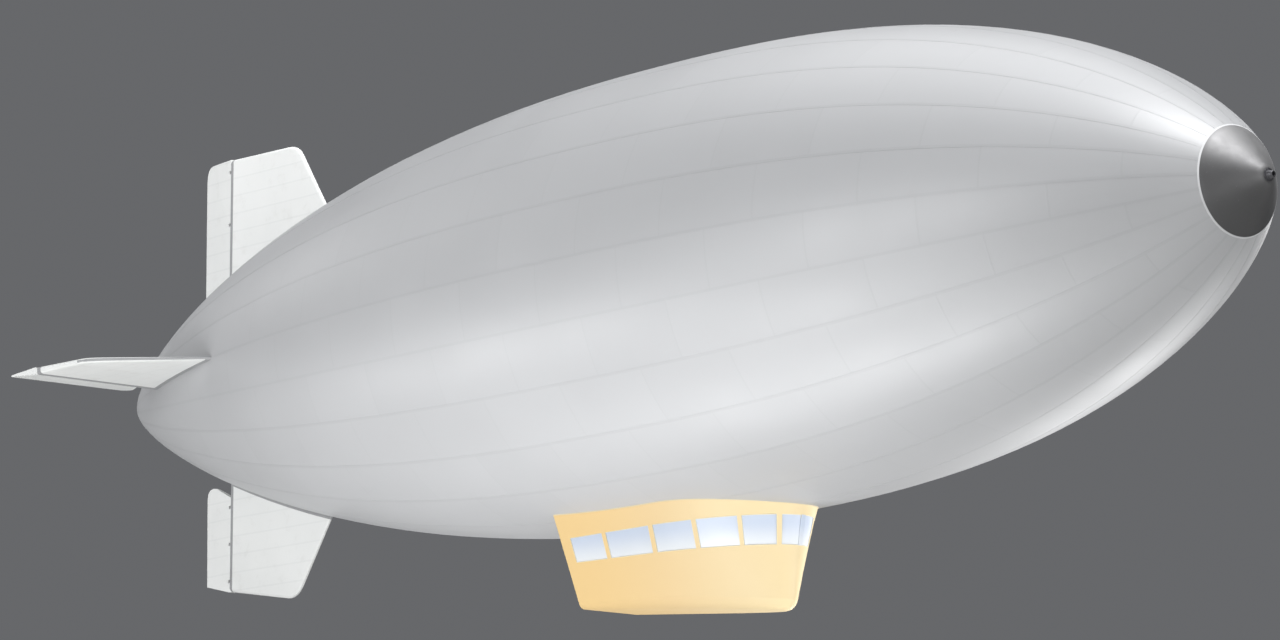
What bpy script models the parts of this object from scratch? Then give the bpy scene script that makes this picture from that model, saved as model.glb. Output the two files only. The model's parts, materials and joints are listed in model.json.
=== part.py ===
# Small non-rigid airship at full size, in metres: +X to the nose, +Y to port, +Z up.
# The origin is the centre of buoyancy of the envelope, on its long axis.
import math

import bmesh
import bpy
from mathutils import Matrix, Vector

for leftover in list(bpy.data.objects):
    bpy.data.objects.remove(leftover, do_unlink=True)

GAP = 0.0003

# Envelope: a turned shell, blunt ahead of its widest station and fine behind it.
LENGTH = 38.0
NOSE_X = 17.66
TAIL_X = NOSE_X - LENGTH
MAX_RADIUS = 5.0
WIDEST_SHARE = 0.441
BOW_POWER = 2.69
BOW_ROOT = 1.41
STERN_POWER = 2.06
STERN_ROOT = 0.797
BOW_SETBACK = 0.141
SKIN = 0.010
HULL_SEGMENTS = 36
HULL_RINGS = 26

# Nose cap and the mooring fitting on its tip.
CAP_LENGTH = 0.90
CAP_ROUNDING = 0.934
CAP_WALL = 0.020
CAP_RINGS = 7
CAP_TIP_RADIUS = 0.15
MOORING_RADIUS = 0.10
MOORING_COLLAR = 0.135
MOORING_FACE_X = NOSE_X + 0.03

# Fins and their control surfaces.
FIN_HALF_THICKNESS = 0.090
FIN_TAPER = 0.012
FIN_EDGE_ROUND = 0.085
SURFACE_NOSE_RADIUS = 0.085
SURFACE_EDGE_HALF = 0.018
COVE_CLEARANCE = 0.010
FIN_END_AHEAD = 0.045
LUG_RADIUS = 0.035
LUG_HALF_HEIGHT = 0.025
LUG_SLOT_HALF = 0.040
LUG_SLOT_BACK = 0.048
ROD_RADIUS = 0.015
ROD_SIDES = 12

# Cabin: a tub that hangs under the belly, wider at the top, with a rounded bow.
CABIN_TOP_Z = -4.60
CABIN_REAR_X = -2.16
CABIN_FRONT_TOP_X = 4.25
CABIN_FRONT_BOTTOM_X = 3.80
CABIN_HALF_TOP = 1.66
CABIN_HALF_BOTTOM = 0.86
BOW_CURVE_TOP = 2.91
BOW_CURVE_BOTTOM = 4.0
BOW_CURVE_POWER = 1.90
KEEL_REAR_Z = -6.64
KEEL_SLOPE = -0.0885
WINDOW_TOP_Z = -5.17
WINDOW_SILL_Z = -5.68
WINDOW_SILL_SLOPE = -0.020
DOOR_TOP_Z = -4.98
WALL = 0.040
BILGE_RADIUS = 0.25
BILGE_RADIUS_REAR = 0.09
BILGE_FULL_X = 0.48
DECK_THICKNESS = 0.030
ROOF_THICKNESS = 0.030
GLASS_NEAR = 0.35
GLASS_FAR = 0.65
DOOR_GAP = 0.006
DOOR_FOOT_RISE = 0.018
PILLAR_SPLIT = 0.684


def material(name, colour, roughness, metallic=0.0, alpha=1.0):
    made = bpy.data.materials.new(name)
    made.use_nodes = True
    shader = made.node_tree.nodes["Principled BSDF"]
    shader.inputs["Base Color"].default_value = (colour[0], colour[1], colour[2], 1.0)
    shader.inputs["Roughness"].default_value = roughness
    shader.inputs["Metallic"].default_value = metallic
    shader.inputs["Alpha"].default_value = alpha
    made.diffuse_color = (colour[0], colour[1], colour[2], alpha)
    return made


ENVELOPE_FABRIC = material("envelope_fabric", (0.50, 0.51, 0.52), 0.38)
CAP_PLASTIC = material("cap_plastic", (0.055, 0.055, 0.058), 0.32)
FIN_FABRIC = material("fin_fabric", (0.82, 0.84, 0.83), 0.45)
BARE_STEEL = material("bare_steel", (0.55, 0.56, 0.57), 0.30, 1.0)
CABIN_PAINT = material("cabin_paint", (0.95, 0.78, 0.46), 0.35)
CABIN_LINING = material("cabin_lining", (0.72, 0.70, 0.64), 0.80)
CLEAR_GLASS = material("clear_glass", (0.78, 0.86, 0.95), 0.05, 0.0, 0.45)
SEAT_CLOTH = material("seat_cloth", (0.16, 0.20, 0.28), 0.85)
SEAT_FRAME = material("seat_frame", (0.30, 0.31, 0.32), 0.50)
PANEL_BLACK = material("panel_black", (0.03, 0.03, 0.035), 0.55)


def finish(name, bm, paint, smooth=True):
    bmesh.ops.remove_doubles(bm, verts=bm.verts, dist=0.00001)
    bmesh.ops.recalc_face_normals(bm, faces=bm.faces)
    mesh = bpy.data.meshes.new(name)
    bm.to_mesh(mesh)
    bm.free()
    if smooth:
        mesh.shade_smooth()
        mesh.set_sharp_from_angle(angle=math.radians(30))
    made = bpy.data.objects.new(name, mesh)
    made.data.materials.append(paint)
    bpy.context.collection.objects.link(made)
    return made


def guide(made):
    made.hide_render = True
    made.display_type = "WIRE"
    return made


def cut(target, cutter, operation="DIFFERENCE"):
    change = target.modifiers.new(cutter.name, "BOOLEAN")
    change.operation = operation
    change.solver = "EXACT"
    change.object = cutter


def turned(name, profile, segments, paint, smooth=True):
    """Turn a closed outline of (x, radius) points about the X axis."""
    bm = bmesh.new()
    points = [bm.verts.new((x, radius, 0.0)) for x, radius in profile]
    count = len(points)
    for index in range(count):
        after = (index + 1) % count
        if profile[index][1] > 0.0 or profile[after][1] > 0.0:
            bm.edges.new((points[index], points[after]))
    bmesh.ops.spin(bm, geom=list(bm.verts) + list(bm.edges), cent=(0, 0, 0), axis=(1, 0, 0),
                   angle=math.tau, steps=segments, use_merge=True, use_duplicate=False)
    return finish(name, bm, paint, smooth)


def cylinder(bm, radius, low, high, sides, place):
    made = bmesh.ops.create_cone(bm, cap_ends=True, segments=sides, radius1=radius, radius2=radius,
                                 depth=high - low,
                                 matrix=place @ Matrix.Translation((0, 0, (low + high) / 2)))
    return made["verts"]


def block(bm, low, high, place=Matrix.Identity(4)):
    size = Vector(high) - Vector(low)
    middle = (Vector(high) + Vector(low)) / 2
    made = bmesh.ops.create_cube(bm, size=1.0,
                                 matrix=place @ Matrix.Translation(middle) @ Matrix.Diagonal((*size, 1.0)))
    return made["verts"]


# Envelope

def hull_radius(x):
    share = (NOSE_X - BOW_SETBACK - x) / (LENGTH - BOW_SETBACK)
    share = min(max(share, 0.0), 1.0)
    if share < WIDEST_SHARE:
        return MAX_RADIUS * (1 - (1 - share / WIDEST_SHARE) ** BOW_POWER) ** (1 / BOW_ROOT)
    behind = (share - WIDEST_SHARE) / (1 - WIDEST_SHARE)
    return MAX_RADIUS * max(1 - behind ** STERN_POWER, 0.0) ** STERN_ROOT


CAP_RING_X = NOSE_X - CAP_LENGTH
CAP_RING_RADIUS = hull_radius(CAP_RING_X)


def hull_profile(grown):
    """Points from the mouth under the cap to the tail, moved out by a distance along the normal."""
    points = []
    for index in range(HULL_RINGS):
        share = 0.5 - 0.5 * math.cos(math.pi * index / (HULL_RINGS - 1))
        x = CAP_RING_X + (TAIL_X - CAP_RING_X) * share
        radius = hull_radius(x)
        if index == HULL_RINGS - 1:
            points.append((TAIL_X - grown * 1.6, 0.0))
            continue
        step = 0.002
        slope = (hull_radius(x + step) - hull_radius(x - step)) / (2 * step)
        scale = grown / math.hypot(1.0, slope)
        shift = 0.0 if index == 0 else -slope * scale
        points.append((x + shift, radius + (grown * math.hypot(1.0, slope) if index == 0 else scale)))
    return points


outer = hull_profile(0.0)
inner = hull_profile(-SKIN)
envelope = turned("envelope", outer + inner[::-1], HULL_SEGMENTS, ENVELOPE_FABRIC)
hull_cutter = guide(turned("hull_cutter", hull_profile(0.0004) + [(CAP_RING_X, 0.0)], HULL_SEGMENTS,
                           ENVELOPE_FABRIC, False))


def cap_point(share, inset):
    """A point of the nose cap, from the tip at 0 to the ring at 1, moved in along the normal."""
    x = NOSE_X - CAP_LENGTH * share
    radius = CAP_RING_RADIUS * share ** CAP_ROUNDING
    slope = CAP_RING_RADIUS * CAP_ROUNDING * share ** (CAP_ROUNDING - 1) / CAP_LENGTH
    scale = inset / math.hypot(1.0, slope)
    return (x - slope * scale, radius - scale)


tip_share = (CAP_TIP_RADIUS / CAP_RING_RADIUS) ** (1 / CAP_ROUNDING)
shares = [tip_share + (1 - tip_share) * index / (CAP_RINGS - 1) for index in range(CAP_RINGS)]
cap_outer = [cap_point(share, 0.0) for share in shares]
cap_inner = [cap_point(share, CAP_WALL) for share in shares[1:]]
cap_face_x = cap_outer[0][0]
hole = MOORING_RADIUS + GAP / math.cos(math.pi / HULL_SEGMENTS)
cap_back = CAP_RING_X + GAP
cap_outer[-1] = (cap_back, cap_outer[-1][1] - 0.0005)
cap_inner[-1] = (cap_back, cap_outer[-1][1] - CAP_WALL * 1.5)
cap_loop = [(cap_face_x, hole)] + cap_outer + cap_inner[::-1] + [(cap_face_x - CAP_WALL * 1.5, hole)]
turned("nose_cap", cap_loop, HULL_SEGMENTS, CAP_PLASTIC)
turned("mooring_fitting", [
    (cap_face_x - 0.16, 0.0), (cap_face_x - 0.16, MOORING_RADIUS - 0.02),
    (cap_face_x - 0.13, MOORING_RADIUS), (cap_face_x + GAP, MOORING_RADIUS),
    (cap_face_x + GAP, MOORING_COLLAR), (cap_face_x + 0.020, MOORING_COLLAR),
    (cap_face_x + 0.030, MOORING_RADIUS * 0.86), (MOORING_FACE_X - 0.01, MOORING_RADIUS * 0.70),
    (MOORING_FACE_X, MOORING_RADIUS * 0.62), (MOORING_FACE_X, 0.0)], 18, BARE_STEEL)


# Fins, drawn with their span along +Z and then turned about the X axis.

FIN_COLUMNS = ("name", "surface", "turn_deg", "hinge_x", "root_lead", "lead", "corner", "tip_at_hinge",
               "surface_edge_tip", "surface_tip", "chord_in", "chord_tip", "round_tip", "lugs")
FIN_ROWS = (
    ("fin_top", "rudder_top", 0, -16.54, (-11.54, 2.40), (-13.69, 5.47), (-14.22, 5.72), 5.76,
     5.35, 5.74, 1.03, 1.05, 0.28, (2.80, 4.15, 5.45)),
    ("fin_bottom", "rudder_bottom", 180, -16.36, (-11.59, 2.40), (-13.49, 4.98), (-14.00, 5.23), 4.86,
     4.64, 4.64, 1.03, 0.99, 0.0, (2.80, 3.70, 4.60)),
    ("fin_starboard", "elevator_starboard", 90, -16.80, (-11.66, 2.40), (-14.45, 5.16), (-15.06, 5.44), 5.46,
     5.46, 5.46, 0.94, 1.00, 0.0, (2.80, 3.98, 5.16)),
    ("fin_port", "elevator_port", -90, -16.80, (-11.66, 2.40), (-14.45, 5.16), (-15.06, 5.44), 5.46,
     5.46, 5.46, 0.94, 1.00, 0.0, (2.80, 3.98, 5.16)),
)
FIN_INNER_SPAN = 1.40
SURFACE_INBOARD = 2.56
SURFACE_INBOARD_AFT = 2.26


def rounded_corner(before, after, bend, steps):
    """A quadratic curve from one point to the next that bulges towards the bend."""
    points = []
    for index in range(steps + 1):
        t = index / steps
        points.append(tuple((1 - t) ** 2 * a + 2 * t * (1 - t) * b + t * t * c
                            for a, b, c in zip(before, bend, after)))
    return points


def inset_outline(points, distances):
    """Move each edge of a closed outline inwards by its own distance."""
    count = len(points)
    area = sum(points[i][0] * points[(i + 1) % count][1] - points[(i + 1) % count][0] * points[i][1]
               for i in range(count))
    turn = 1.0 if area > 0 else -1.0
    lines = []
    for i in range(count):
        a = Vector(points[i])
        b = Vector(points[(i + 1) % count])
        along = (b - a).normalized()
        inwards = Vector((-along.y, along.x)) * turn
        lines.append((a + inwards * distances[i], along))
    moved = []
    for i in range(count):
        p, u = lines[i - 1]
        q, v = lines[i]
        cross = u.x * v.y - u.y * v.x
        if abs(cross) < 1e-6:
            moved.append((q.x, q.y))
            continue
        along = ((q - p).x * v.y - (q - p).y * v.x) / cross
        meet = p + u * along
        moved.append((meet.x, meet.y))
    return moved


def build_fin(row):
    part = dict(zip(FIN_COLUMNS, row))
    hinge_x = part["hinge_x"]
    end_x = hinge_x + FIN_END_AHEAD
    turn = Matrix.Rotation(math.radians(part["turn_deg"]), 4, "X")
    lead = part["lead"]
    corner = part["corner"]
    root = part["root_lead"]
    share = (corner[1] - lead[1]) / (lead[1] - root[1])
    bend = (lead[0] + (lead[0] - root[0]) * share, corner[1])
    outline = [(end_x, FIN_INNER_SPAN), (root[0] - 0.6, FIN_INNER_SPAN), root]
    outline += rounded_corner(lead, corner, bend, 4)
    outline.append((end_x, part["tip_at_hinge"]))
    rounds = [0.0, 0.0] + [1.0] * (len(outline) - 3) + [0.0]

    bm = bmesh.new()
    rings = []
    for inset, rise in ((1.0, 1.0), (0.42, 0.80), (0.08, 0.40), (0.08, -0.40), (0.42, -0.80), (1.0, -1.0)):
        moved = inset_outline(outline, [FIN_EDGE_ROUND * inset * flag for flag in rounds])
        rings.append([bm.verts.new((x, rise * (FIN_HALF_THICKNESS - FIN_TAPER * (x - hinge_x)), z))
                      for x, z in moved])
    bm.faces.new(rings[0])
    bm.faces.new(rings[-1][::-1])
    count = len(outline)
    for first, second in zip(rings, rings[1:]):
        for i in range(count):
            j = (i + 1) % count
            bm.faces.new((first[i], second[i], second[j], first[j]))
    bmesh.ops.triangulate(bm, faces=bm.faces)
    bm.transform(turn)
    fin = finish(part["name"], bm, FIN_FABRIC)

    bm = bmesh.new()
    cylinder(bm, SURFACE_NOSE_RADIUS + COVE_CLEARANCE, 1.0, 6.5, 24,
             turn @ Matrix.Translation((hinge_x, 0, 0)))
    cut(fin, guide(finish(part["name"] + "_cove", bm, FIN_FABRIC, False)))

    bm = bmesh.new()
    for height in part["lugs"]:
        place = turn @ Matrix.Translation((hinge_x, 0, height))
        sides = 16
        arc = []
        for index in range(sides // 2 + 1):
            angle = math.pi / 2 + math.pi * index / (sides // 2)
            arc.append((LUG_RADIUS * math.cos(angle), LUG_RADIUS * math.sin(angle)))
        arc += [(0.12, -LUG_RADIUS), (0.12, LUG_RADIUS)]
        low = [bm.verts.new(place @ Vector((x, y, -LUG_HALF_HEIGHT))) for x, y in arc]
        high = [bm.verts.new(place @ Vector((x, y, LUG_HALF_HEIGHT))) for x, y in arc]
        bm.faces.new(low[::-1])
        bm.faces.new(high)
        for i in range(len(arc)):
            j = (i + 1) % len(arc)
            bm.faces.new((low[i], low[j], high[j], high[i]))
    cut(fin, guide(finish(part["name"] + "_lugs", bm, FIN_FABRIC, False)), "UNION")

    bm = bmesh.new()
    bore = (ROD_RADIUS + GAP) / math.cos(math.pi / ROD_SIDES)
    for height in part["lugs"]:
        cylinder(bm, bore, height - 0.06, height + 0.06, ROD_SIDES,
                 turn @ Matrix.Translation((hinge_x, 0, 0)))
    cut(fin, guide(finish(part["name"] + "_bores", bm, FIN_FABRIC, False)))
    cut(fin, hull_cutter)

    # The control surface is a wedge with a half-round nose about its hinge.
    span_tip = part["surface_tip"]
    chord_in = part["chord_in"]
    chord_tip = part["chord_tip"]
    edge = [(-chord_in * 0.60, SURFACE_INBOARD_AFT + 0.02)]
    edge += rounded_corner((-chord_in * 0.74, SURFACE_INBOARD_AFT), (-chord_in, SURFACE_INBOARD_AFT + 0.26),
                           (-chord_in, SURFACE_INBOARD_AFT), 3)
    if part["round_tip"] > 0:
        edge += rounded_corner((-chord_tip, part["surface_edge_tip"]),
                               (-chord_tip + part["round_tip"], span_tip), (-chord_tip, span_tip), 4)
    else:
        edge.append((-chord_tip, part["surface_edge_tip"]))
    tip_hinge = part["tip_at_hinge"]
    outline = [(0.0, SURFACE_INBOARD)] + edge + [(0.0, tip_hinge)]

    def half(x):
        share = min(-x / chord_tip, 1.05)
        return SURFACE_NOSE_RADIUS + (SURFACE_EDGE_HALF - SURFACE_NOSE_RADIUS) * share

    bm = bmesh.new()
    left = [bm.verts.new((x, half(x), z)) for x, z in outline]
    right = [bm.verts.new((x, -half(x), z)) for x, z in outline]
    bm.faces.new(left)
    bm.faces.new(right[::-1])
    for i in range(len(outline) - 1):
        bm.faces.new((left[i], right[i], right[i + 1], left[i + 1]))
    low_arc = [left[0]]
    high_arc = [left[-1]]
    for index in range(1, 8):
        angle = math.pi / 2 - math.pi * index / 8
        x = SURFACE_NOSE_RADIUS * math.cos(angle)
        y = SURFACE_NOSE_RADIUS * math.sin(angle)
        low_arc.append(bm.verts.new((x, y, SURFACE_INBOARD)))
        high_arc.append(bm.verts.new((x, y, tip_hinge)))
    low_arc.append(right[0])
    high_arc.append(right[-1])
    for i in range(8):
        bm.faces.new((low_arc[i], low_arc[i + 1], high_arc[i + 1], high_arc[i]))
    bm.faces.new(low_arc)
    bm.faces.new(high_arc[::-1])
    bm.transform(turn)
    surface = finish(part["surface"], bm, FIN_FABRIC)
    surface.location = (hinge_x, 0, 0)

    bm = bmesh.new()
    for height in part["lugs"]:
        block(bm, (-LUG_SLOT_BACK, -0.12, height - LUG_SLOT_HALF), (0.14, 0.12, height + LUG_SLOT_HALF),
              turn @ Matrix.Translation((hinge_x, 0, 0)))
    cut(surface, guide(finish(part["surface"] + "_slots", bm, FIN_FABRIC, False)))

    rod_top = tip_hinge - 0.12
    bm = bmesh.new()
    cylinder(bm, bore, SURFACE_INBOARD - 0.1, rod_top, ROD_SIDES, turn @ Matrix.Translation((hinge_x, 0, 0)))
    cut(surface, guide(finish(part["surface"] + "_bore", bm, FIN_FABRIC, False)))

    bm = bmesh.new()
    cylinder(bm, ROD_RADIUS, SURFACE_INBOARD, rod_top - GAP, ROD_SIDES, turn)
    rod = finish(part["surface"] + "_hinge_rod", bm, BARE_STEEL)
    rod.location = (hinge_x, 0, 0)


for fin_row in FIN_ROWS:
    build_fin(fin_row)


# Cabin

WALL_START_X = CABIN_REAR_X + WALL + GAP


def keel_z(x):
    return KEEL_REAR_Z + KEEL_SLOPE * (x - CABIN_REAR_X)


def bilge_radius(x):
    """The bilge is tight at the bulkhead and has its full radius ahead of the door's rear edge."""
    share = (x - WALL_START_X) / (BILGE_FULL_X - WALL_START_X)
    return BILGE_RADIUS_REAR + (BILGE_RADIUS - BILGE_RADIUS_REAR) * min(max(share, 0.0), 1.0)


def cabin_point(xi, level, inset=0.0, side=1):
    """A point of the cabin's wall.

    xi runs from 0 at the bulkhead to 1 at the bow, level gives a height for an x, inset moves the
    point inwards by a distance or by one for each x, and side is -1 for starboard and 1 for port.
    """
    x = CABIN_REAR_X + (CABIN_FRONT_TOP_X - CABIN_REAR_X) * xi
    y = 0.0
    for _ in range(6):
        z = level(x)
        moved_in = inset(x) if callable(inset) else inset
        drop = (CABIN_TOP_Z - z) / (CABIN_TOP_Z - keel_z(x))
        half = CABIN_HALF_TOP + (CABIN_HALF_BOTTOM - CABIN_HALF_TOP) * drop - moved_in
        front = CABIN_FRONT_TOP_X + (CABIN_FRONT_BOTTOM_X - CABIN_FRONT_TOP_X) * drop - moved_in
        curve = BOW_CURVE_TOP + (BOW_CURVE_BOTTOM - BOW_CURVE_TOP) * drop
        x = max(CABIN_REAR_X + (front - CABIN_REAR_X) * xi, WALL_START_X)
        ahead = max((x - (front - curve)) / curve, 0.0)
        y = half * max(1 - ahead ** BOW_CURVE_POWER, 0.0) ** (1 / BOW_CURVE_POWER)
    return Vector((x, y * side, level(x)))


def flat(z, slope=0.0):
    return lambda x: z + slope * (x - CABIN_REAR_X)


def above_keel(height):
    return lambda x: keel_z(x) + height


def moved_level(level, rise):
    return lambda x: level(x) + rise


WALL_TOP = flat(-4.50)
DOOR_TOP = flat(DOOR_TOP_Z)
WINDOW_TOP = flat(WINDOW_TOP_Z)
WINDOW_SILL = flat(WINDOW_SILL_Z, WINDOW_SILL_SLOPE)
BELT = lambda x: (WINDOW_SILL(x) + keel_z(x) + BILGE_RADIUS) / 2
BILGE = lambda x: keel_z(x) + bilge_radius(x)

# Windows from the rear to the bow, as shares of the cabin's length.
CENTRE_POST = 0.9994
WINDOWS = ((0.052, 0.223), (0.243, 0.471), (0.493, 0.675), (0.693, 0.848), (0.862, 0.961),
           (0.972, CENTRE_POST))
CURVE_LINES = (0.580, 0.628, 0.742, 0.796, 0.896, 0.930, 0.9800, 0.9885, 0.9955)
FINE = 0.00005


def lines_between(low, high, extra=()):
    wanted = {low, high}
    for first, last in WINDOWS:
        wanted.update((first, last))
    wanted.update(CURVE_LINES)
    wanted.update(extra)
    return sorted(line for line in wanted if low - 1e-9 <= line <= high + 1e-9)


def slab(name, columns, levels, missing, paint, insets=(0.0, WALL), smooth=True, foot_rise=0.0):
    """A wall between two skins, on a grid of columns (xi, side) and levels, with cells left out.

    The foot of the inner skin stands higher than that of the outer one by foot_rise.
    """
    bm = bmesh.new()
    grid = {}
    for depth, inset in enumerate(insets):
        inner_levels = levels[:-1] + [moved_level(levels[-1], foot_rise * depth)]
        for i, (xi, side) in enumerate(columns):
            for j, level in enumerate(inner_levels):
                grid[i, j, depth] = bm.verts.new(cabin_point(xi, level, inset, side))
    across = len(columns) - 1
    down = len(levels) - 1
    present = {(i, j) for i in range(across) for j in range(down) if (i, j) not in missing}
    for i, j in present:
        bm.faces.new((grid[i, j, 0], grid[i + 1, j, 0], grid[i + 1, j + 1, 0], grid[i, j + 1, 0]))
        bm.faces.new((grid[i, j, 1], grid[i + 1, j, 1], grid[i + 1, j + 1, 1], grid[i, j + 1, 1]))
        for (di, dj), (a, b) in (((-1, 0), ((i, j), (i, j + 1))), ((1, 0), ((i + 1, j), (i + 1, j + 1))),
                                 ((0, -1), ((i, j), (i + 1, j))), ((0, 1), ((i, j + 1), (i + 1, j + 1)))):
            if (i + di, j + dj) not in present:
                bm.faces.new((grid[(*a, 0)], grid[(*b, 0)], grid[(*b, 1)], grid[(*a, 1)]))
    loose = [vert for vert in bm.verts if not vert.link_faces]
    bmesh.ops.delete(bm, geom=loose, context="VERTS")
    bmesh.ops.triangulate(bm, faces=bm.faces, quad_method="FIXED")
    return finish(name, bm, paint, smooth)


def window_cells(columns, row):
    """The cells of a grid's row that lie in a window."""
    cells = set()
    for i in range(len(columns) - 1):
        if columns[i][1] != columns[i + 1][1]:
            continue
        middle = (columns[i][0] + columns[i + 1][0]) / 2
        if any(first < middle < last for first, last in WINDOWS):
            cells.add((i, row))
    return cells


WALL_LEVELS = [WALL_TOP, DOOR_TOP, WINDOW_TOP, WINDOW_SILL, BELT, BILGE]
WINDOW_ROW = 2
DOOR_FIRST = 0.482

starboard_columns = [(xi, -1) for xi in lines_between(0.0, PILLAR_SPLIT - FINE)]
starboard = slab("cabin_side_starboard", starboard_columns, WALL_LEVELS,
                 window_cells(starboard_columns, WINDOW_ROW), CABIN_PAINT)
cut(starboard, hull_cutter)

port_columns = [(xi, 1) for xi in lines_between(0.0, PILLAR_SPLIT - FINE, (DOOR_FIRST,))[::-1]]
port_missing = window_cells(port_columns, WINDOW_ROW)
for i in range(len(port_columns) - 1):
    if port_columns[i + 1][0] > DOOR_FIRST - 1e-6:
        port_missing.update((i, j) for j in range(1, 5))
port = slab("cabin_side_port", port_columns, WALL_LEVELS, port_missing, CABIN_PAINT)
cut(port, hull_cutter)

half_bow = lines_between(PILLAR_SPLIT + FINE, 1.0)
bow_columns = [(xi, -1) for xi in half_bow] + [(xi, 1) for xi in half_bow[:-1][::-1]]
bow_missing = set()
for i in range(len(bow_columns) - 1):
    middle = (bow_columns[i][0] + bow_columns[i + 1][0]) / 2
    if any(first < middle < last for first, last in WINDOWS):
        bow_missing.add((i, WINDOW_ROW))
bow = slab("cabin_bow", bow_columns, WALL_LEVELS, bow_missing, CABIN_PAINT)
cut(bow, hull_cutter)


def pane(name, first, last, side, edge=0.00015, rise=GAP):
    lines = [line for line in lines_between(first, last) if first - 1e-9 <= line <= last + 1e-9]
    lines[0] += edge
    lines[-1] -= edge if last < CENTRE_POST else edge * 0.1
    columns = [(line, side) for line in lines]
    levels = [moved_level(WINDOW_TOP, -rise), moved_level(WINDOW_SILL, rise)]
    return slab(name, columns, levels, set(), CLEAR_GLASS, (WALL * GLASS_NEAR, WALL * GLASS_FAR))


for number, (first, last) in enumerate(WINDOWS, 1):
    pane("window_starboard_%d" % number, first, last, -1)
    if number != 3:
        pane("window_port_%d" % number, first, last, 1)

# Bottom pan with rounded bilges, its rear bulkhead and the deck on it.
BILGE_STEPS = 3


def pan_level(step, wall):
    """The level and the inset of a step round the bilge, from the wall's foot at 0 to the keel."""
    angle = math.pi / 2 * step / BILGE_STEPS

    def level(x):
        if step == 0:
            return BILGE(x) - GAP
        return keel_z(x) + wall + (bilge_radius(x) - wall) * (1 - math.sin(angle))

    def inset(x):
        return wall + (bilge_radius(x) - wall) * (1 - math.cos(angle))

    return level, inset


pan_lines = lines_between(0.0, 1.0)
pan_around = [(xi, -1) for xi in pan_lines] + [(xi, 1) for xi in pan_lines[:-1][::-1]]
bm = bmesh.new()
skins = []
for wall in (0.0, WALL):
    skin = []
    for step in range(BILGE_STEPS + 1):
        level, inset = pan_level(step, wall)
        skin.append([bm.verts.new(cabin_point(xi, level, inset, side)) for xi, side in pan_around])
    skins.append(skin)
count = len(pan_around)
for skin in skins:
    for upper, lower in zip(skin, skin[1:]):
        for i in range(count - 1):
            bm.faces.new((upper[i], lower[i], lower[i + 1], upper[i + 1]))
    bm.faces.new(skin[-1])
outside, inside = skins
for i in range(count - 1):
    bm.faces.new((outside[0][i], outside[0][i + 1], inside[0][i + 1], inside[0][i]))
rear_loop = [row[0] for row in outside] + [row[-1] for row in outside[::-1]]
rear_loop += [row[-1] for row in inside] + [row[0] for row in inside[::-1]]
bm.faces.new(rear_loop)
bmesh.ops.triangulate(bm, faces=bm.faces, quad_method="FIXED")
finish("cabin_pan", bm, CABIN_PAINT)

section = []
for level in (WALL_TOP, WINDOW_TOP, WINDOW_SILL):
    point = cabin_point(0.0, level)
    section.append((point.y, point.z))
for step in range(BILGE_STEPS + 1):
    level, inset = pan_level(step, 0.0)
    point = cabin_point(0.0, level, inset)
    section.append((point.y, point.z))
section += [(-y, z) for y, z in section[::-1]]
bm = bmesh.new()
back = [bm.verts.new((CABIN_REAR_X, y, z)) for y, z in section]
front = [bm.verts.new((CABIN_REAR_X + WALL, y, z)) for y, z in section]
bm.faces.new(back)
bm.faces.new(front[::-1])
for i in range(len(section)):
    j = (i + 1) % len(section)
    bm.faces.new((back[i], front[i], front[j], back[j]))
bulkhead = finish("cabin_bulkhead", bm, CABIN_PAINT)
cut(bulkhead, hull_cutter)

bm = bmesh.new()
deck_lines = lines_between(0.0, 0.98)
deck_around = [(xi, -1) for xi in deck_lines] + [(xi, 1) for xi in deck_lines[::-1]]
sheets = []
for height in (WALL + GAP, WALL + GAP + DECK_THICKNESS):
    level = above_keel(height)
    sheets.append([bm.verts.new(cabin_point(xi, level, lambda x: bilge_radius(x) + 0.003, side))
                   for xi, side in deck_around])
bm.faces.new(sheets[0])
bm.faces.new(sheets[1][::-1])
for i in range(len(deck_around)):
    j = (i + 1) % len(deck_around)
    bm.faces.new((sheets[0][i], sheets[0][j], sheets[1][j], sheets[1][i]))
bmesh.ops.triangulate(bm, faces=bm.faces)
finish("cabin_deck", bm, CABIN_LINING)

# Roof lining: the cabin's inner outline, kept only in a thin layer under the envelope.
roof_lines = lines_between(0.0, 1.0, (PILLAR_SPLIT - FINE, PILLAR_SPLIT + FINE))
roof_around = [(xi, -1) for xi in roof_lines] + [(xi, 1) for xi in roof_lines[:-1][::-1]]
bm = bmesh.new()
sheets = []
for level in (WALL_TOP, DOOR_TOP, WINDOW_TOP):
    sheets.append([bm.verts.new(cabin_point(xi, level, WALL + GAP, side)) for xi, side in roof_around])
bm.faces.new(sheets[0])
bm.faces.new(sheets[-1][::-1])
for upper, lower in zip(sheets, sheets[1:]):
    for i in range(len(roof_around)):
        j = (i + 1) % len(roof_around)
        bm.faces.new((upper[i], upper[j], lower[j], lower[i]))
bmesh.ops.triangulate(bm, faces=bm.faces, quad_method="FIXED")
roof = finish("cabin_roof", bm, CABIN_LINING)
near_hull = [point for point in hull_profile(0.0005) if -8.0 < point[0] < 10.0]
far_hull = [point for point in hull_profile(0.0005 + ROOF_THICKNESS) if -8.0 < point[0] < 10.0]
roof_layer = turned("roof_layer", near_hull + far_hull[::-1], HULL_SEGMENTS, CABIN_LINING, False)
cut(roof, guide(roof_layer), "INTERSECT")

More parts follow.
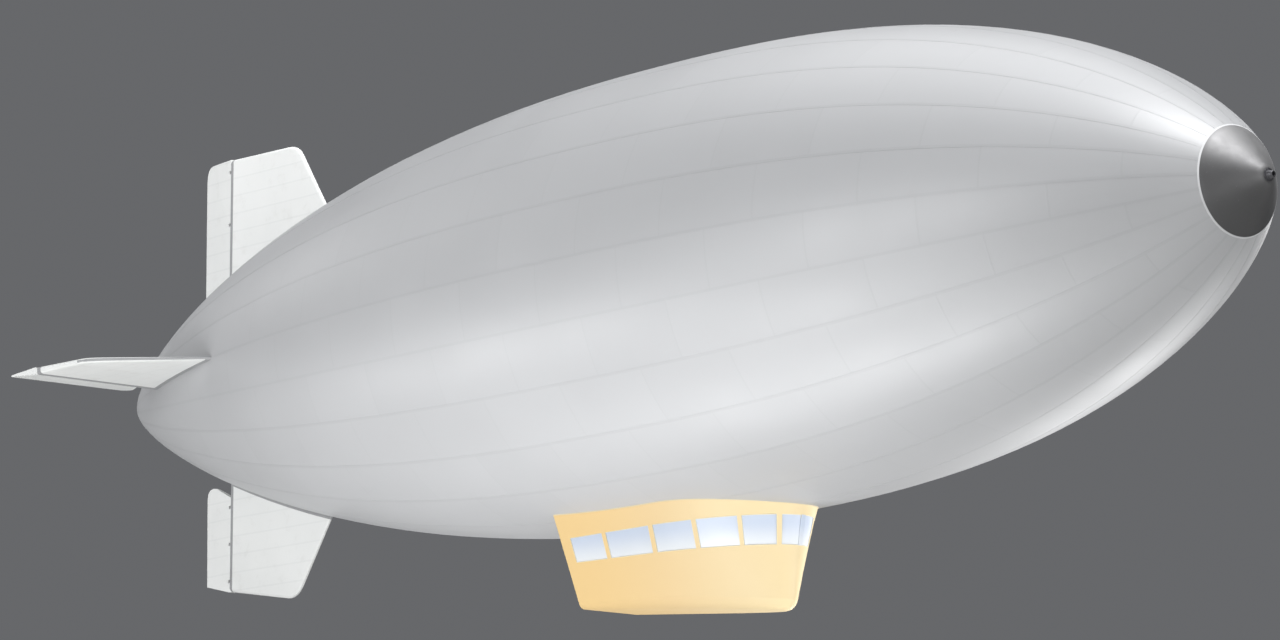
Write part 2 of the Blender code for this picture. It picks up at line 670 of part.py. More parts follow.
# Door in the port side, on a pair of lift-off hinges along its forward edge.
DOOR_SHARE_GAP = DOOR_GAP / (CABIN_FRONT_TOP_X - CABIN_REAR_X)
door_low = moved_level(BILGE, DOOR_GAP)
door_high = moved_level(DOOR_TOP, -DOOR_GAP)
door_lines = [line for line in lines_between(DOOR_FIRST, PILLAR_SPLIT - FINE) if line < PILLAR_SPLIT - 0.005]
door_lines = [DOOR_FIRST + DOOR_SHARE_GAP] + [line for line in door_lines if line > DOOR_FIRST + 0.004]
door_lines.append(PILLAR_SPLIT - FINE - DOOR_SHARE_GAP)
door_columns = [(xi, 1) for xi in door_lines]
door_levels = [door_high, WINDOW_TOP, WINDOW_SILL, BELT, door_low]
hinge_high = cabin_point(PILLAR_SPLIT - FINE - DOOR_SHARE_GAP / 2, flat(-5.08), 0.0, 1)
hinge_low = cabin_point(PILLAR_SPLIT - FINE - DOOR_SHARE_GAP / 2, above_keel(0.36), 0.0, 1)
HINGE_BARREL = 0.014
HINGE_PIN = 0.006
HINGE_STAND_OFF = 0.017
hinge_axis = (hinge_high - hinge_low).normalized()
along_wall = (cabin_point(0.675, BELT) - cabin_point(0.693, BELT)).normalized()
hinge_out = along_wall.cross(hinge_axis).normalized()
if hinge_out.y < 0:
    hinge_out = -hinge_out
hinge_back = hinge_axis.cross(hinge_out).normalized()
if hinge_back.x > 0:
    hinge_back = -hinge_back
hinge_point = hinge_low + hinge_out * HINGE_STAND_OFF
hinge_length = (hinge_high - hinge_low).length


def hinge_frame(height):
    """A frame on the hinge line: X to the rear along the door, Y outwards, Z up along the axis."""
    rotation = Matrix((hinge_back, hinge_out, hinge_axis)).transposed().to_4x4()
    return Matrix.Translation(hinge_point + hinge_axis * height) @ rotation


door = slab("cabin_door", door_columns, door_levels, window_cells(door_columns, 1), CABIN_PAINT,
            foot_rise=DOOR_FOOT_RISE)
pane("window_port_3", WINDOWS[2][0], WINDOWS[2][1], 1)
BARREL_SIDES = 12


def knuckle(bm, place, low, high, side):
    """A hinge knuckle with its arm, on the door where side is 1 and on the bow where it is -1."""
    outline = []
    for index in range(7):
        angle = math.pi / 2 + math.pi * index / 6
        outline.append((HINGE_BARREL * math.cos(angle), HINGE_BARREL * math.sin(angle)))
    outline += [(0.007, -HINGE_BARREL), (0.007, -0.032), (0.050, -0.032), (0.050, -0.006),
                (0.016, HINGE_BARREL)]
    ends = []
    for z in (low, high):
        ends.append([bm.verts.new(place @ Vector((x * side, y, z))) for x, y in outline])
    bm.faces.new(ends[0])
    bm.faces.new(ends[1][::-1])
    for i in range(len(outline)):
        j = (i + 1) % len(outline)
        bm.faces.new((ends[0][i], ends[0][j], ends[1][j], ends[1][i]))


bm_door = bmesh.new()
bm_frame = bmesh.new()
bm_pins = bmesh.new()
bm_bore = bmesh.new()
for height in (hinge_length * 0.12, hinge_length * 0.84):
    place = hinge_frame(height)
    knuckle(bm_door, place, 0.0003, 0.050, 1)
    knuckle(bm_frame, place, -0.050, -0.0003, -1)
    cylinder(bm_pins, HINGE_PIN, -0.020, 0.040, BARREL_SIDES, place)
    bore = (HINGE_PIN + GAP) / math.cos(math.pi / BARREL_SIDES)
    cylinder(bm_bore, bore, -0.010, 0.0405, BARREL_SIDES, place)
cut(door, guide(finish("door_knuckles", bm_door, CABIN_PAINT, False)), "UNION")
cut(door, guide(finish("hinge_bores", bm_bore, CABIN_PAINT, False)))
cut(bow, guide(finish("frame_knuckles", bm_frame, CABIN_PAINT, False)), "UNION")
cut(bow, guide(finish("hinge_pins", bm_pins, CABIN_PAINT, False)), "UNION")

for moving in (door, bpy.data.objects["window_port_3"]):
    moving.data.transform(Matrix.Translation(-hinge_point))
    moving.location = hinge_point

# The lever's foot lies on the flat facet below the door's window, by the rear edge.
facet_high = cabin_point(WINDOWS[2][0], WINDOW_SILL)
facet_low = cabin_point(WINDOWS[2][0], BELT)
facet_ahead = cabin_point(CURVE_LINES[0], BELT)
latch_up = (facet_high - facet_low).normalized()
latch_out = latch_up.cross(facet_ahead - facet_low).normalized()
if latch_out.y < 0:
    latch_out = -latch_out
latch_forward = latch_out.cross(latch_up).normalized()
if latch_forward.x < 0:
    latch_forward = -latch_forward
latch = facet_low * 0.50 + facet_high * 0.42 + facet_ahead * 0.08
rotation = Matrix((latch_forward, latch_up, latch_out)).transposed().to_4x4()
place = Matrix.Translation(latch + latch_out * GAP - hinge_point) @ rotation
lever = [(-0.014, 0.0), (-0.014, 0.034), (0.130, 0.034), (0.130, 0.020), (0.014, 0.020), (0.014, 0.0)]
bm = bmesh.new()
ends = [[bm.verts.new(place @ Vector((x, y, z))) for x, z in lever] for y in (-0.014, 0.014)]
bm.faces.new(ends[0])
bm.faces.new(ends[1][::-1])
for i in range(len(lever)):
    j = (i + 1) % len(lever)
    bm.faces.new((ends[0][i], ends[0][j], ends[1][j], ends[1][i]))
handle = finish("door_handle", bm, BARE_STEEL)
handle.location = hinge_point

# Seats, bench and controls, on the sloping deck.
DECK_TOP = WALL + GAP + DECK_THICKNESS


def deck_z(x):
    return keel_z(x) + DECK_TOP


def prism(name, outline, low_y, high_y, paint):
    """A side view in X and Z drawn out between two values of Y."""
    bm = bmesh.new()
    ends = [[bm.verts.new((x, y, z)) for x, z in outline] for y in (low_y, high_y)]
    bm.faces.new(ends[0])
    bm.faces.new(ends[1][::-1])
    for i in range(len(outline)):
        j = (i + 1) % len(outline)
        bm.faces.new((ends[0][i], ends[0][j], ends[1][j], ends[1][i]))
    return finish(name, bm, paint, False)


SEAT_COLUMNS = ("name", "x", "centre_y", "half_width", "pan_height", "back_height", "depth")
SEAT_ROWS = (
    ("pilot_seat_starboard", 1.86, -0.255, 0.20, 0.30, 0.55, 0.42),
    ("pilot_seat_port", 1.86, 0.255, 0.20, 0.30, 0.55, 0.42),
    ("passenger_bench", -1.22, 0.0, 0.54, 0.30, 0.50, 0.44),
)
SEAT_SHELL = 0.025
for row in SEAT_ROWS:
    seat = dict(zip(SEAT_COLUMNS, row))
    x = seat["x"]
    half_depth = seat["depth"] / 2
    pan = deck_z(x) + seat["pan_height"]
    top = pan + seat["back_height"]
    lean = 0.08
    rear = x - half_depth
    nose = x + half_depth
    frame_outline = [
        (x - 0.14, deck_z(x - 0.14) + GAP), (x + 0.14, deck_z(x + 0.14) + GAP), (x + 0.12, pan - SEAT_SHELL),
        (nose, pan - SEAT_SHELL), (nose, pan), (rear, pan), (rear - lean, top),
        (rear - lean - SEAT_SHELL, top), (rear - SEAT_SHELL, pan - SEAT_SHELL), (x - 0.12, pan - SEAT_SHELL)]
    pad_outline = [
        (nose - 0.01, pan + GAP), (nose + 0.005, pan + 0.04), (nose - 0.02, pan + 0.09),
        (rear + 0.10, pan + 0.075), (rear + 0.075 - lean * 0.5, pan + seat["back_height"] * 0.5),
        (rear + 0.06 - lean, top + 0.01), (rear + 0.03 - lean, top + 0.03), (rear - lean + 2 * GAP, top),
        (rear + 2 * GAP, pan + GAP)]
    low_y = seat["centre_y"] - seat["half_width"]
    high_y = seat["centre_y"] + seat["half_width"]
    prism(row[0] + "_frame", frame_outline, low_y, high_y, SEAT_FRAME)
    prism(row[0] + "_pad", pad_outline, low_y + 0.008, high_y - 0.008, SEAT_CLOTH)

CONSOLE_REAR = 2.50
console_top = deck_z(2.7) + 0.72
prism("instrument_console", [
    (CONSOLE_REAR + 0.10, deck_z(CONSOLE_REAR + 0.10) + GAP), (2.84, deck_z(2.84) + GAP),
    (2.84, console_top - 0.30), (3.02, console_top - 0.06), (2.98, console_top), (2.66, console_top),
    (CONSOLE_REAR, console_top - 0.16), (CONSOLE_REAR, console_top - 0.30),
    (CONSOLE_REAR + 0.10, console_top - 0.36)], -0.34, 0.34, PANEL_BLACK)

WHEEL_RADIUS = 0.13
for label, y in (("starboard", -0.19), ("port", 0.19)):
    axle_z = console_top - 0.23
    place = Matrix.Translation((CONSOLE_REAR - GAP, y, axle_z)) @ Matrix.Rotation(-math.pi / 2, 4, "Y")
    bm = bmesh.new()
    ring = [bm.verts.new(place @ Vector((WHEEL_RADIUS + 0.012 * math.cos(a), 0, 0.15 + 0.012 * math.sin(a))))
            for a in (0.0, math.tau / 5, 2 * math.tau / 5, 3 * math.tau / 5, 4 * math.tau / 5)]
    edges = [bm.edges.new((ring[i], ring[(i + 1) % 5])) for i in range(5)]
    bmesh.ops.spin(bm, geom=ring + edges, cent=place @ Vector((0, 0, 0)), axis=(-1, 0, 0),
                   angle=math.tau, steps=16, use_merge=True, use_duplicate=False)
    wheel = finish("control_wheel_" + label, bm, PANEL_BLACK)
    bm = bmesh.new()
    block(bm, (-0.014, -WHEEL_RADIUS, 0.144), (0.014, WHEEL_RADIUS, 0.156), place)
    cut(wheel, guide(finish("spoke_" + label, bm, PANEL_BLACK, False)), "UNION")
    bm = bmesh.new()
    cylinder(bm, 0.016, 0.0, 0.165, 10, place)
    cut(wheel, guide(finish("column_" + label, bm, PANEL_BLACK, False)), "UNION")

print("door hinge point", [round(v, 5) for v in hinge_point], "axis", [round(v, 6) for v in hinge_axis])
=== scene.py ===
# The airship's looks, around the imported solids: its silver envelope, dark nose cap, white fins with
# grey sealing tape, and the cream cabin with its windows, seats and controls.
import json
import math
from contextlib import contextmanager

import bmesh
import bpy
from mathutils import Matrix, Vector

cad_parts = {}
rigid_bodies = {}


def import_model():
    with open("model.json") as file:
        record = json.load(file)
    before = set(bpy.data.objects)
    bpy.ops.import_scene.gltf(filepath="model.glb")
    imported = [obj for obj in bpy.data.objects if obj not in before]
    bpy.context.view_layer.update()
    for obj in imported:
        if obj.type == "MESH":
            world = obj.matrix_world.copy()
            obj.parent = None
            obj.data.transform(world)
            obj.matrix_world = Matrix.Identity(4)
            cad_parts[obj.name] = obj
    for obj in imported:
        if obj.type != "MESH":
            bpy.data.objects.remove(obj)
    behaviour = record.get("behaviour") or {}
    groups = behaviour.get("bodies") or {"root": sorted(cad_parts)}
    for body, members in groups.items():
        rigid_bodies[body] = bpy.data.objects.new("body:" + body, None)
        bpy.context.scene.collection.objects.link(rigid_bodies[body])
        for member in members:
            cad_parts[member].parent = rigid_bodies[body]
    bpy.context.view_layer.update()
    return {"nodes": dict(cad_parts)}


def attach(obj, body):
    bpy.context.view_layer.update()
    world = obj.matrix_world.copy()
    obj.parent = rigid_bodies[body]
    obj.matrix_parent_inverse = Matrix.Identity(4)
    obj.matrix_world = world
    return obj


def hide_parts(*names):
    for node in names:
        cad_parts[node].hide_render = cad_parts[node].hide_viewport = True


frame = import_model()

# Envelope
LENGTH = 38.0
NOSE_X = 17.66
TAIL_X = NOSE_X - LENGTH
MAX_RADIUS = 5.0
WIDEST_SHARE = 0.441
BOW_POWER = 2.69
BOW_ROOT = 1.41
STERN_POWER = 2.06
STERN_ROOT = 0.797
BOW_SETBACK = 0.141
SKIN = 0.010
GORES = 24
SIDES_PER_GORE = 8
STATIONS = 76
TAPE_HALF_WIDTH = 0.030
TAPE_THICKNESS = 0.003
TAPE_END_RADIUS = 0.62

# Nose cap
CAP_LENGTH = 0.90
CAP_RING_X = NOSE_X - CAP_LENGTH
CAP_ROUNDING = 0.934
CAP_WALL = 0.020
CAP_TIP_RADIUS = 0.15
CAP_LIP = 0.028
CAP_LIP_PROUD = 0.006
MOORING_RADIUS = 0.10
MOORING_COLLAR = 0.135
MOORING_FACE_X = NOSE_X + 0.03

# Fins: the hinge line of each, its control surface, and the width of the grey tape at its hinge and root
FIN_ROWS = (
    ("fin_top", "rudder_top", -16.54, 0.085, 0.090),
    ("fin_bottom", "rudder_bottom", -16.36, 0.085, 0.090),
    ("fin_starboard", "elevator_starboard", -16.80, 0.170, 0.110),
    ("fin_port", "elevator_port", -16.80, 0.170, 0.110),
)
FIN_END_AHEAD = 0.045
FIN_TAPE_THICKNESS = 0.003

# Cabin
CABIN_TOP_Z = -4.60
CABIN_REAR_X = -2.16
CABIN_FRONT_TOP_X = 4.25
CABIN_FRONT_BOTTOM_X = 3.80
CABIN_HALF_TOP = 1.66
CABIN_HALF_BOTTOM = 0.86
BOW_CURVE_TOP = 2.91
BOW_CURVE_BOTTOM = 4.0
BOW_CURVE_POWER = 1.90
KEEL_REAR_Z = -6.64
KEEL_SLOPE = -0.0885
WINDOW_TOP_Z = -5.17
WINDOW_SILL_Z = -5.68
WINDOW_SILL_SLOPE = -0.020
ROOF_SEAL_RADIUS = 0.016
WALL = 0.040
WALL_START_X = CABIN_REAR_X + WALL + 0.0003
# Each window's rear and front edge, as shares of the cabin's length
WINDOWS = ((0.052, 0.223), (0.243, 0.471), (0.493, 0.675), (0.693, 0.848), (0.862, 0.961), (0.972, 0.9994))

# The two sides, and the sign of y on each
SIDES = (("starboard", -1), ("port", 1))

# Stage
CAMERA_AZIMUTH = 49.7926
CAMERA_ELEVATION = -10.1315
CAMERA_DISTANCE = 113.5545
CAMERA_TARGET = Vector((-1.179, 0.0, -0.2834))
CAMERA_LENS = 145.48
CAMERA_SENSOR = 36.0
CAMERA_CLIPS = (1.0, 1500.0)
FLOOR_Z = -21.8
FLOOR_RADIUS = 260.0
FLOOR_DARKER = (0.60, 0.60, 0.59, 1.0)
FLOOR_PALER = (0.68, 0.68, 0.67, 1.0)
BACKDROP = (0.135, 0.138, 0.145, 1.0)


# Hands: selecting, editing and finishing

MERGE_DISTANCE = 0.00005
FLAT_ANGLE = math.radians(0.6)
EDGE_ANGLE = math.radians(30)
ALONG_X = (0, math.pi / 2, 0)


def spread(first, last, count):
    """Even steps from the first value to the last."""
    return [first + (last - first) * index / count for index in range(count + 1)]


def deselect():
    bpy.ops.object.select_all(action="DESELECT")


def pick(piece):
    deselect()
    piece.select_set(True)
    bpy.context.view_layer.objects.active = piece


@contextmanager
def editing(piece, mode, everything=False):
    """Edit mode on one piece, with nothing or everything selected in it."""
    pick(piece)
    bpy.ops.object.mode_set(mode="EDIT")
    bpy.ops.mesh.select_mode(type=mode)
    bpy.ops.mesh.select_all(action="SELECT" if everything else "DESELECT")
    yield bmesh.from_edit_mesh(piece.data)
    bpy.ops.object.mode_set(mode="OBJECT")


def choose(piece, parts, test):
    """Select the vertices, edges or faces that pass a test, in edit mode."""
    for part in parts:
        part.select_set(test(part))
    bmesh.update_edit_mesh(piece.data)


def work(piece, kind, **settings):
    """Add a modifier and apply it."""
    change = piece.modifiers.new(kind.lower(), kind)
    for setting, value in settings.items():
        setattr(change, setting, value)
    pick(piece)
    bpy.ops.object.modifier_apply(modifier=change.name)


def made(name):
    """Name the piece that an operator has just added, and put its place in its mesh."""
    piece = bpy.context.object
    piece.name = name
    piece.data.name = name
    bpy.ops.object.transform_apply(location=True, rotation=True, scale=True)
    return piece


def outwards(piece, merge=MERGE_DISTANCE):
    with editing(piece, "VERT", True):
        bpy.ops.mesh.remove_doubles(threshold=merge)
        bpy.ops.mesh.normals_make_consistent(inside=False)


def smooth(piece, degrees):
    pick(piece)
    bpy.ops.object.shade_smooth_by_angle(angle=math.radians(degrees))


def painted(piece, finish):
    piece.data.materials.clear()
    piece.data.materials.append(finish.material)
    return piece


def assign(piece, finish):
    """Give the selected faces a finish of their own."""
    piece.data.materials.append(finish.material)
    piece.active_material_index = len(piece.data.materials) - 1
    bpy.ops.object.material_slot_assign()


def fit(piece, body, slot, finish, *nodes):
    """Paint a piece, let it ride on its body, and let it stand for its CAD nodes."""
    if finish:
        painted(piece, finish)
    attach(piece, body)
    if nodes:
        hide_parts(*nodes)


def placed(name, data):
    """A new object around a mesh, a curve, a lamp or a camera."""
    piece = bpy.data.objects.new(name, data)
    bpy.context.collection.objects.link(piece)
    return piece


def copy_of(node, name):
    """A merged copy of a CAD node's mesh, as a piece of its own."""
    mesh = frame["nodes"][node].data.copy()
    mesh.name = name
    mesh.materials.clear()
    piece = placed(name, mesh)
    pick(piece)
    bpy.ops.mesh.customdata_custom_splitnormals_clear()
    with editing(piece, "VERT", True):
        bpy.ops.mesh.remove_doubles(threshold=MERGE_DISTANCE)
        bpy.ops.mesh.dissolve_limited(angle_limit=FLAT_ANGLE)
    return piece


def rounded(piece, width, segments=3):
    """Round a piece's sharp edges and smooth it."""
    work(piece, "BEVEL", width=width, segments=segments, limit_method="ANGLE", angle_limit=EDGE_ANGLE)
    smooth(piece, 40)
    return piece


def block(name, low, high):
    """A box between two corners, to be shaped further."""
    middle = [(a + b) / 2 for a, b in zip(low, high)]
    size = [b - a for a, b in zip(low, high)]
    deselect()
    bpy.ops.mesh.primitive_cube_add(size=1.0, location=middle, scale=size)
    return made(name)


def disc(name, vertices, radius, **place):
    deselect()
    bpy.ops.mesh.primitive_circle_add(vertices=vertices, radius=radius, fill_type="NGON", **place)
    return made(name)


def joined(name, pieces):
    """Join pieces into the first of them."""
    deselect()
    for piece in pieces:
        piece.select_set(True)
    bpy.context.view_layer.objects.active = pieces[0]
    bpy.ops.object.join()
    pieces[0].name = name
    return pieces[0]


def duplicate(piece, name):
    """A copy of a piece, with a mesh of its own."""
    twin = piece.copy()
    twin.data = piece.data.copy()
    twin.name = name
    bpy.context.collection.objects.link(twin)
    return twin


def draw_out(steps, axis, centre=(0, 0, 0)):
    """Draw the selected face out along an axis, by steps of (distance, scale)."""
    for distance, scale in steps:
        move = tuple(distance * part for part in axis)
        bpy.ops.mesh.extrude_region_move(TRANSFORM_OT_translate={"value": move})
        sizes = tuple(1 if part else scale for part in axis)
        bpy.ops.transform.resize(value=sizes, center_override=centre)


def lathe(name, outline, sides):
    """A circle drawn out ring by ring along the long axis, through points of (x, radius)."""
    x, radius = outline[0]
    deselect()
    bpy.ops.mesh.primitive_circle_add(vertices=sides, radius=radius, location=(x, 0, 0), rotation=ALONG_X)
    piece = made(name)
    with editing(piece, "VERT", True):
        for next_x, next_radius in outline[1:]:
            bpy.ops.mesh.extrude_region_move(TRANSFORM_OT_translate={"value": (next_x - x, 0, 0)})
            if next_radius > 0:
                scale = next_radius / radius
                bpy.ops.transform.resize(value=(1, scale, scale), center_override=(next_x, 0, 0))
                radius = next_radius
            else:
                bpy.ops.mesh.merge(type="CENTER")
            x = next_x
    return piece


def tube(name, points, radius, closed, resolution):
    """A round bead or rod along a line of points, as a mesh."""
    line = bpy.data.curves.new(name, "CURVE")
    line.dimensions = "3D"
    line.bevel_depth = radius
    line.bevel_resolution = resolution
    line.use_fill_caps = not closed
    path = line.splines.new("POLY")
    path.points.add(len(points) - 1)
    for place, point in zip(path.points, points):
        place.co = (*point, 1.0)
    path.use_cyclic_u = closed
    piece = placed(name, line)
    pick(piece)
    bpy.ops.object.convert(target="MESH")
    outwards(piece)
    smooth(piece, 50)
    return piece


# Finishes: a small language for shader maths

def arithmetic(operation, swapped=False):
    def work_out(self, other):
        return self.finish.math(operation, *((other, self) if swapped else (self, other)))
    return work_out


class Reading:
    """A value of a finish's pattern. Arithmetic on it adds Math nodes."""

    def __init__(self, finish, socket):
        self.finish = finish
        self.socket = socket

    __add__ = arithmetic("ADD")
    __radd__ = arithmetic("ADD", True)
    __sub__ = arithmetic("SUBTRACT")
    __rsub__ = arithmetic("SUBTRACT", True)
    __mul__ = arithmetic("MULTIPLY")
    __rmul__ = arithmetic("MULTIPLY", True)
    __truediv__ = arithmetic("DIVIDE")


class Finish:
    """A material, with its own shader and pattern nodes."""

    def __init__(self, name, **fixed):
        self.material = bpy.data.materials.new(name)
        self.material.use_nodes = True
        self.tree = self.material.node_tree
        self.shader = self.tree.nodes["Principled BSDF"]
        self.give(**fixed)

    def give(self, **values):
        """Set or link the shader's sockets, named in lower case with underscores."""
        for name, value in values.items():
            self.feed(self.shader.inputs[SOCKETS[name]], value)

    def feed(self, socket, value):
        if isinstance(value, Reading):
            self.tree.links.new(value.socket, socket)
        else:
            socket.default_value = value

    def node(self, kind, inputs, output=0, **settings):
        node = self.tree.nodes.new(kind)
        for setting, value in settings.items():
            if setting == "stops":
                stops = node.color_ramp.elements
                while len(stops) < len(value):
                    stops.new(1.0)
                for stop, (position, colour) in zip(stops, value):
                    stop.position = position
                    stop.color = colour
            else:
                setattr(node, setting, value)
        for name, value in inputs.items():
            self.feed(node.inputs[name], value)
        return Reading(self, node.outputs[output])

    def math(self, operation, *values):
        return self.node("ShaderNodeMath", dict(enumerate(values)), operation=operation)

    def mix(self, share, first, second):
        return self.node("ShaderNodeMix", {0: share, 6: first, 7: second}, 2, data_type="RGBA")

    def point(self):
        return self.node("ShaderNodeTexCoord", {}, "Object")

    def along(self):
        """The point's three coordinates, in metres."""
        node = self.node("ShaderNodeSeparateXYZ", {0: self.point()}).socket.node
        return [Reading(self, output) for output in node.outputs]

    def noise(self, scale, detail, rough=0.5):
        return self.node("ShaderNodeTexNoise", {"Vector": self.point(), "Scale": scale,
                                                "Detail": detail, "Roughness": rough})

    def between(self, value, low, high, start=0.0, end=1.0):
        """Turn a value from low to high into one from start to end, eased."""
        return self.node("ShaderNodeMapRange", {0: value, 1: low, 2: high, 3: start, 4: end},
                         interpolation_type="SMOOTHSTEP")

    def lines(self, distance, pitch, half_width):
        """1 on lines that are a pitch apart, and 0 between them."""
        away = self.math("PINGPONG", distance, pitch / 2)
        return self.between(away, half_width * 0.6, half_width * 1.2, 1.0, 0.0)

    def wave(self, distance, pitch):
        return self.math("SINE", distance * (math.tau / pitch))

    def relief(self, height, depth, strength):
        """Raise and lower the surface by a pattern, by its depth in metres."""
        self.give(normal=self.node("ShaderNodeBump", {"Height": height, "Distance": depth,
                                                      "Strength": strength}))


SOCKETS = {
    "colour": "Base Color", "roughness": "Roughness", "metallic": "Metallic", "alpha": "Alpha",
    "coat": "Coat Weight", "coat_roughness": "Coat Roughness", "specular": "Specular IOR Level",
    "normal": "Normal", "sheen": "Sheen Weight",
}


def shade(red, green, blue):
    """A colour given as it looks on a screen, from 0 to 255, as the shader wants it."""
    linear = [((part / 255 + 0.055) / 1.055) ** 2.4 for part in (red, green, blue)]
    return (*linear, 1.0)


def lighter(colour, factor):
    return tuple(min(part * factor, 1.0) for part in colour[:3]) + (1.0,)


PANEL_LENGTH = 2.6
WELD_HALF_WIDTH = 0.020
RIB_PITCH = 0.44
RIB_HALF_WIDTH = 0.022


def silver_fabric(name, colour, with_panels):
    """Coated envelope cloth: gores welded from panels, each a shade of its own, with a fine scrim."""
    cloth = Finish(name, roughness=0.46, metallic=0.15, specular=0.5)
    x, y, z = cloth.along()
    around = cloth.math("ARCTAN2", y, z) * (GORES / math.tau)
    gore = cloth.math("FLOOR", around)
    stagger = cloth.math("MODULO", gore + 2 * GORES, 2.0) * (PANEL_LENGTH / 2)
    panel = cloth.math("FLOOR", (x + stagger) / PANEL_LENGTH)
    own_shade = cloth.node("ShaderNodeTexWhiteNoise", {"W": gore * 7.3 + panel}, noise_dimensions="1D")
    clouds = cloth.noise(0.35, 3.0)
    fine = cloth.noise(9.0, 4.0, 0.6)
    tint = 0.45 * own_shade + 0.35 * clouds + 0.2 * fine
    colours = cloth.mix(tint, lighter(colour, 0.98), lighter(colour, 1.02))
    scrim = cloth.wave(x, 0.045) * cloth.wave(around, 0.030)
    height = 0.7 * cloth.noise(1.3, 3.0) + 0.06 * scrim
    if with_panels:
        weld = cloth.lines(x + stagger, PANEL_LENGTH, WELD_HALF_WIDTH)
        colours = cloth.mix(weld * 0.20, colours, lighter(colour, 0.86))
        height = height + weld * 0.5
    cloth.give(colour=colours, roughness=cloth.between(clouds, 0.3, 0.7, 0.43, 0.50))
    cloth.relief(height, 0.004, 0.5)
    return cloth


def moulded_cap():
    """Pewter lacquer on glass fibre, painted lighter above and darker below as painted light and shade,
    rubbed at the tip, with a light band at its rim.
    """
    cap = Finish("pewter_cap", specular=0.4)
    x, y, z = cap.along()
    mottle = cap.noise(4.0, 5.0, 0.6)
    # Painted light and shade: the cap's colour runs from a dark grey below to a light grey above, as if lit
    # from overhead.
    painted_light_above = cap.between(z + y * 0.5, -0.6, 1.0)
    base = cap.mix(painted_light_above, cap.mix(mottle, shade(84, 84, 85), shade(92, 92, 93)),
                   cap.mix(mottle, shade(138, 138, 139), shade(148, 148, 149)))
    scuffs = cap.between(cap.noise(23.0, 6.0, 0.7), 0.60, 0.72)
    tip = cap.between(x, NOSE_X - 0.22, NOSE_X - 0.05)
    worn = scuffs * 0.25 + tip * mottle * 0.30
    band = cap.between(x, CAP_RING_X + 0.001, CAP_RING_X + 0.006, 1.0, 0.0)
    painted_cap = cap.mix(worn, base, shade(142, 142, 143))
    cap.give(colour=cap.mix(band, painted_cap, shade(204, 205, 207)),
             metallic=(1.0 - band) * 0.65, roughness=cap.between(mottle, 0.3, 0.7, 0.50, 0.58))
    cap.relief(0.6 * mottle + 0.1 * cap.noise(90.0, 2.0), 0.002, 0.5)
    return cap


def doped_cloth():
    """White doped fabric drawn tight over ribs, with a trace of grime behind each rib."""
    cloth = Finish("doped_cloth", roughness=0.48, specular=0.4)
    x, y, z = cloth.along()
    span = cloth.math("MAXIMUM", cloth.math("ABSOLUTE", y), cloth.math("ABSOLUTE", z))
    ribs = cloth.lines(span, RIB_PITCH, RIB_HALF_WIDTH)
    sag = cloth.math("PINGPONG", span, RIB_PITCH / 2)
    clouds = cloth.noise(0.9, 4.0)
    grime = cloth.between(cloth.noise(2.6, 5.0, 0.65), 0.52, 0.75)
    colours = cloth.mix(clouds, shade(234, 236, 235), shade(241, 242, 241))
    colours = cloth.mix(ribs * 0.16, colours, shade(208, 211, 211))
    colours = cloth.mix(grime * 0.12, colours, shade(176, 174, 166))
    cloth.give(colour=colours, roughness=cloth.between(clouds, 0.3, 0.7, 0.42, 0.54))
    weave = cloth.wave(x, 0.030) * cloth.wave(span, 0.030)
    cloth.relief(ribs * 0.35 - sag * 1.2 + 0.05 * weave, 0.004, 0.6)
    return cloth


def sealing_tape():
    """Grey rubberised tape over seams, roots and hinge gaps."""
    tape = Finish("sealing_tape", roughness=0.6, specular=0.35)
    mottle = tape.noise(5.0, 4.0, 0.6)
    tape.give(colour=tape.mix(mottle, shade(150, 151, 153), shade(166, 167, 169)))
    tape.relief(tape.noise(140.0, 3.0), 0.001, 0.4)
    return tape


def cream_enamel():
    """Cream enamel, painted darker towards the rear and lighter towards the bow as painted shade along the
    rounded cabin, with a little road dust low down.
    """
    paint = Finish("cream_enamel", specular=0.25, coat=0.05, coat_roughness=0.3)
    x, _, z = paint.along()
    # Painted shade: the cream darkens from the bow to the rear, standing in for how light falls along the
    # cabin.
    ahead = paint.between(x, CABIN_REAR_X, CABIN_FRONT_TOP_X)
    colours = paint.node("ShaderNodeValToRGB", {0: ahead}, stops=(
        (0.0, shade(206, 177, 125)), (0.5, shade(206, 181, 137)), (1.0, shade(206, 188, 149))))
    peel = paint.noise(260.0, 2.0)
    clouds = paint.noise(1.6, 3.0)
    dust = paint.between(z + clouds * 0.4, -7.1, -6.3, 1.0, 0.0) * paint.noise(7.0, 6.0, 0.7)
    colours = paint.mix(dust * 0.10, colours, shade(188, 168, 132))
    paint.give(colour=colours, roughness=paint.between(clouds, 0.3, 0.7, 0.52, 0.62) + dust * 0.12)
    paint.relief(peel, 0.0004, 0.25)
    return paint


def cabin_lining():
    """Pale woven lining over padding."""
    cloth = Finish("woven_lining", roughness=0.85, specular=0.25, sheen=0.2)
    x, y, z = cloth.along()
    weave = cloth.wave(x, 0.008) * cloth.wave(y + z, 0.008)
    mottle = cloth.noise(3.0, 4.0)
    cloth.give(colour=cloth.mix(mottle, shade(206, 202, 190), shade(222, 218, 206)))
    cloth.relief(0.5 + 0.5 * weave, 0.0006, 0.5)
    return cloth


def window_glass(name, at_sill, at_top, thinnest, thickest):
    """Acrylic with a painted reflection: blue at the upper edge, fading to near white at the sill."""
    glass = Finish(name, roughness=0.36, specular=0.35, coat=0.08, coat_roughness=0.12)
    x, _, z = glass.along()
    # Painted reflection: the colour runs from near white at the sill to blue at the top edge.
    depth = glass.between(z + -WINDOW_SILL_SLOPE * (x - CABIN_REAR_X), WINDOW_SILL_Z, WINDOW_TOP_Z)
    waves = glass.noise(1.1, 2.0)
    glass.give(colour=glass.mix(depth, at_sill, at_top),
               alpha=glass.between(waves, 0.2, 0.8, thinnest, thickest))
    glass.relief(waves, 0.002, 0.15)
    return glass


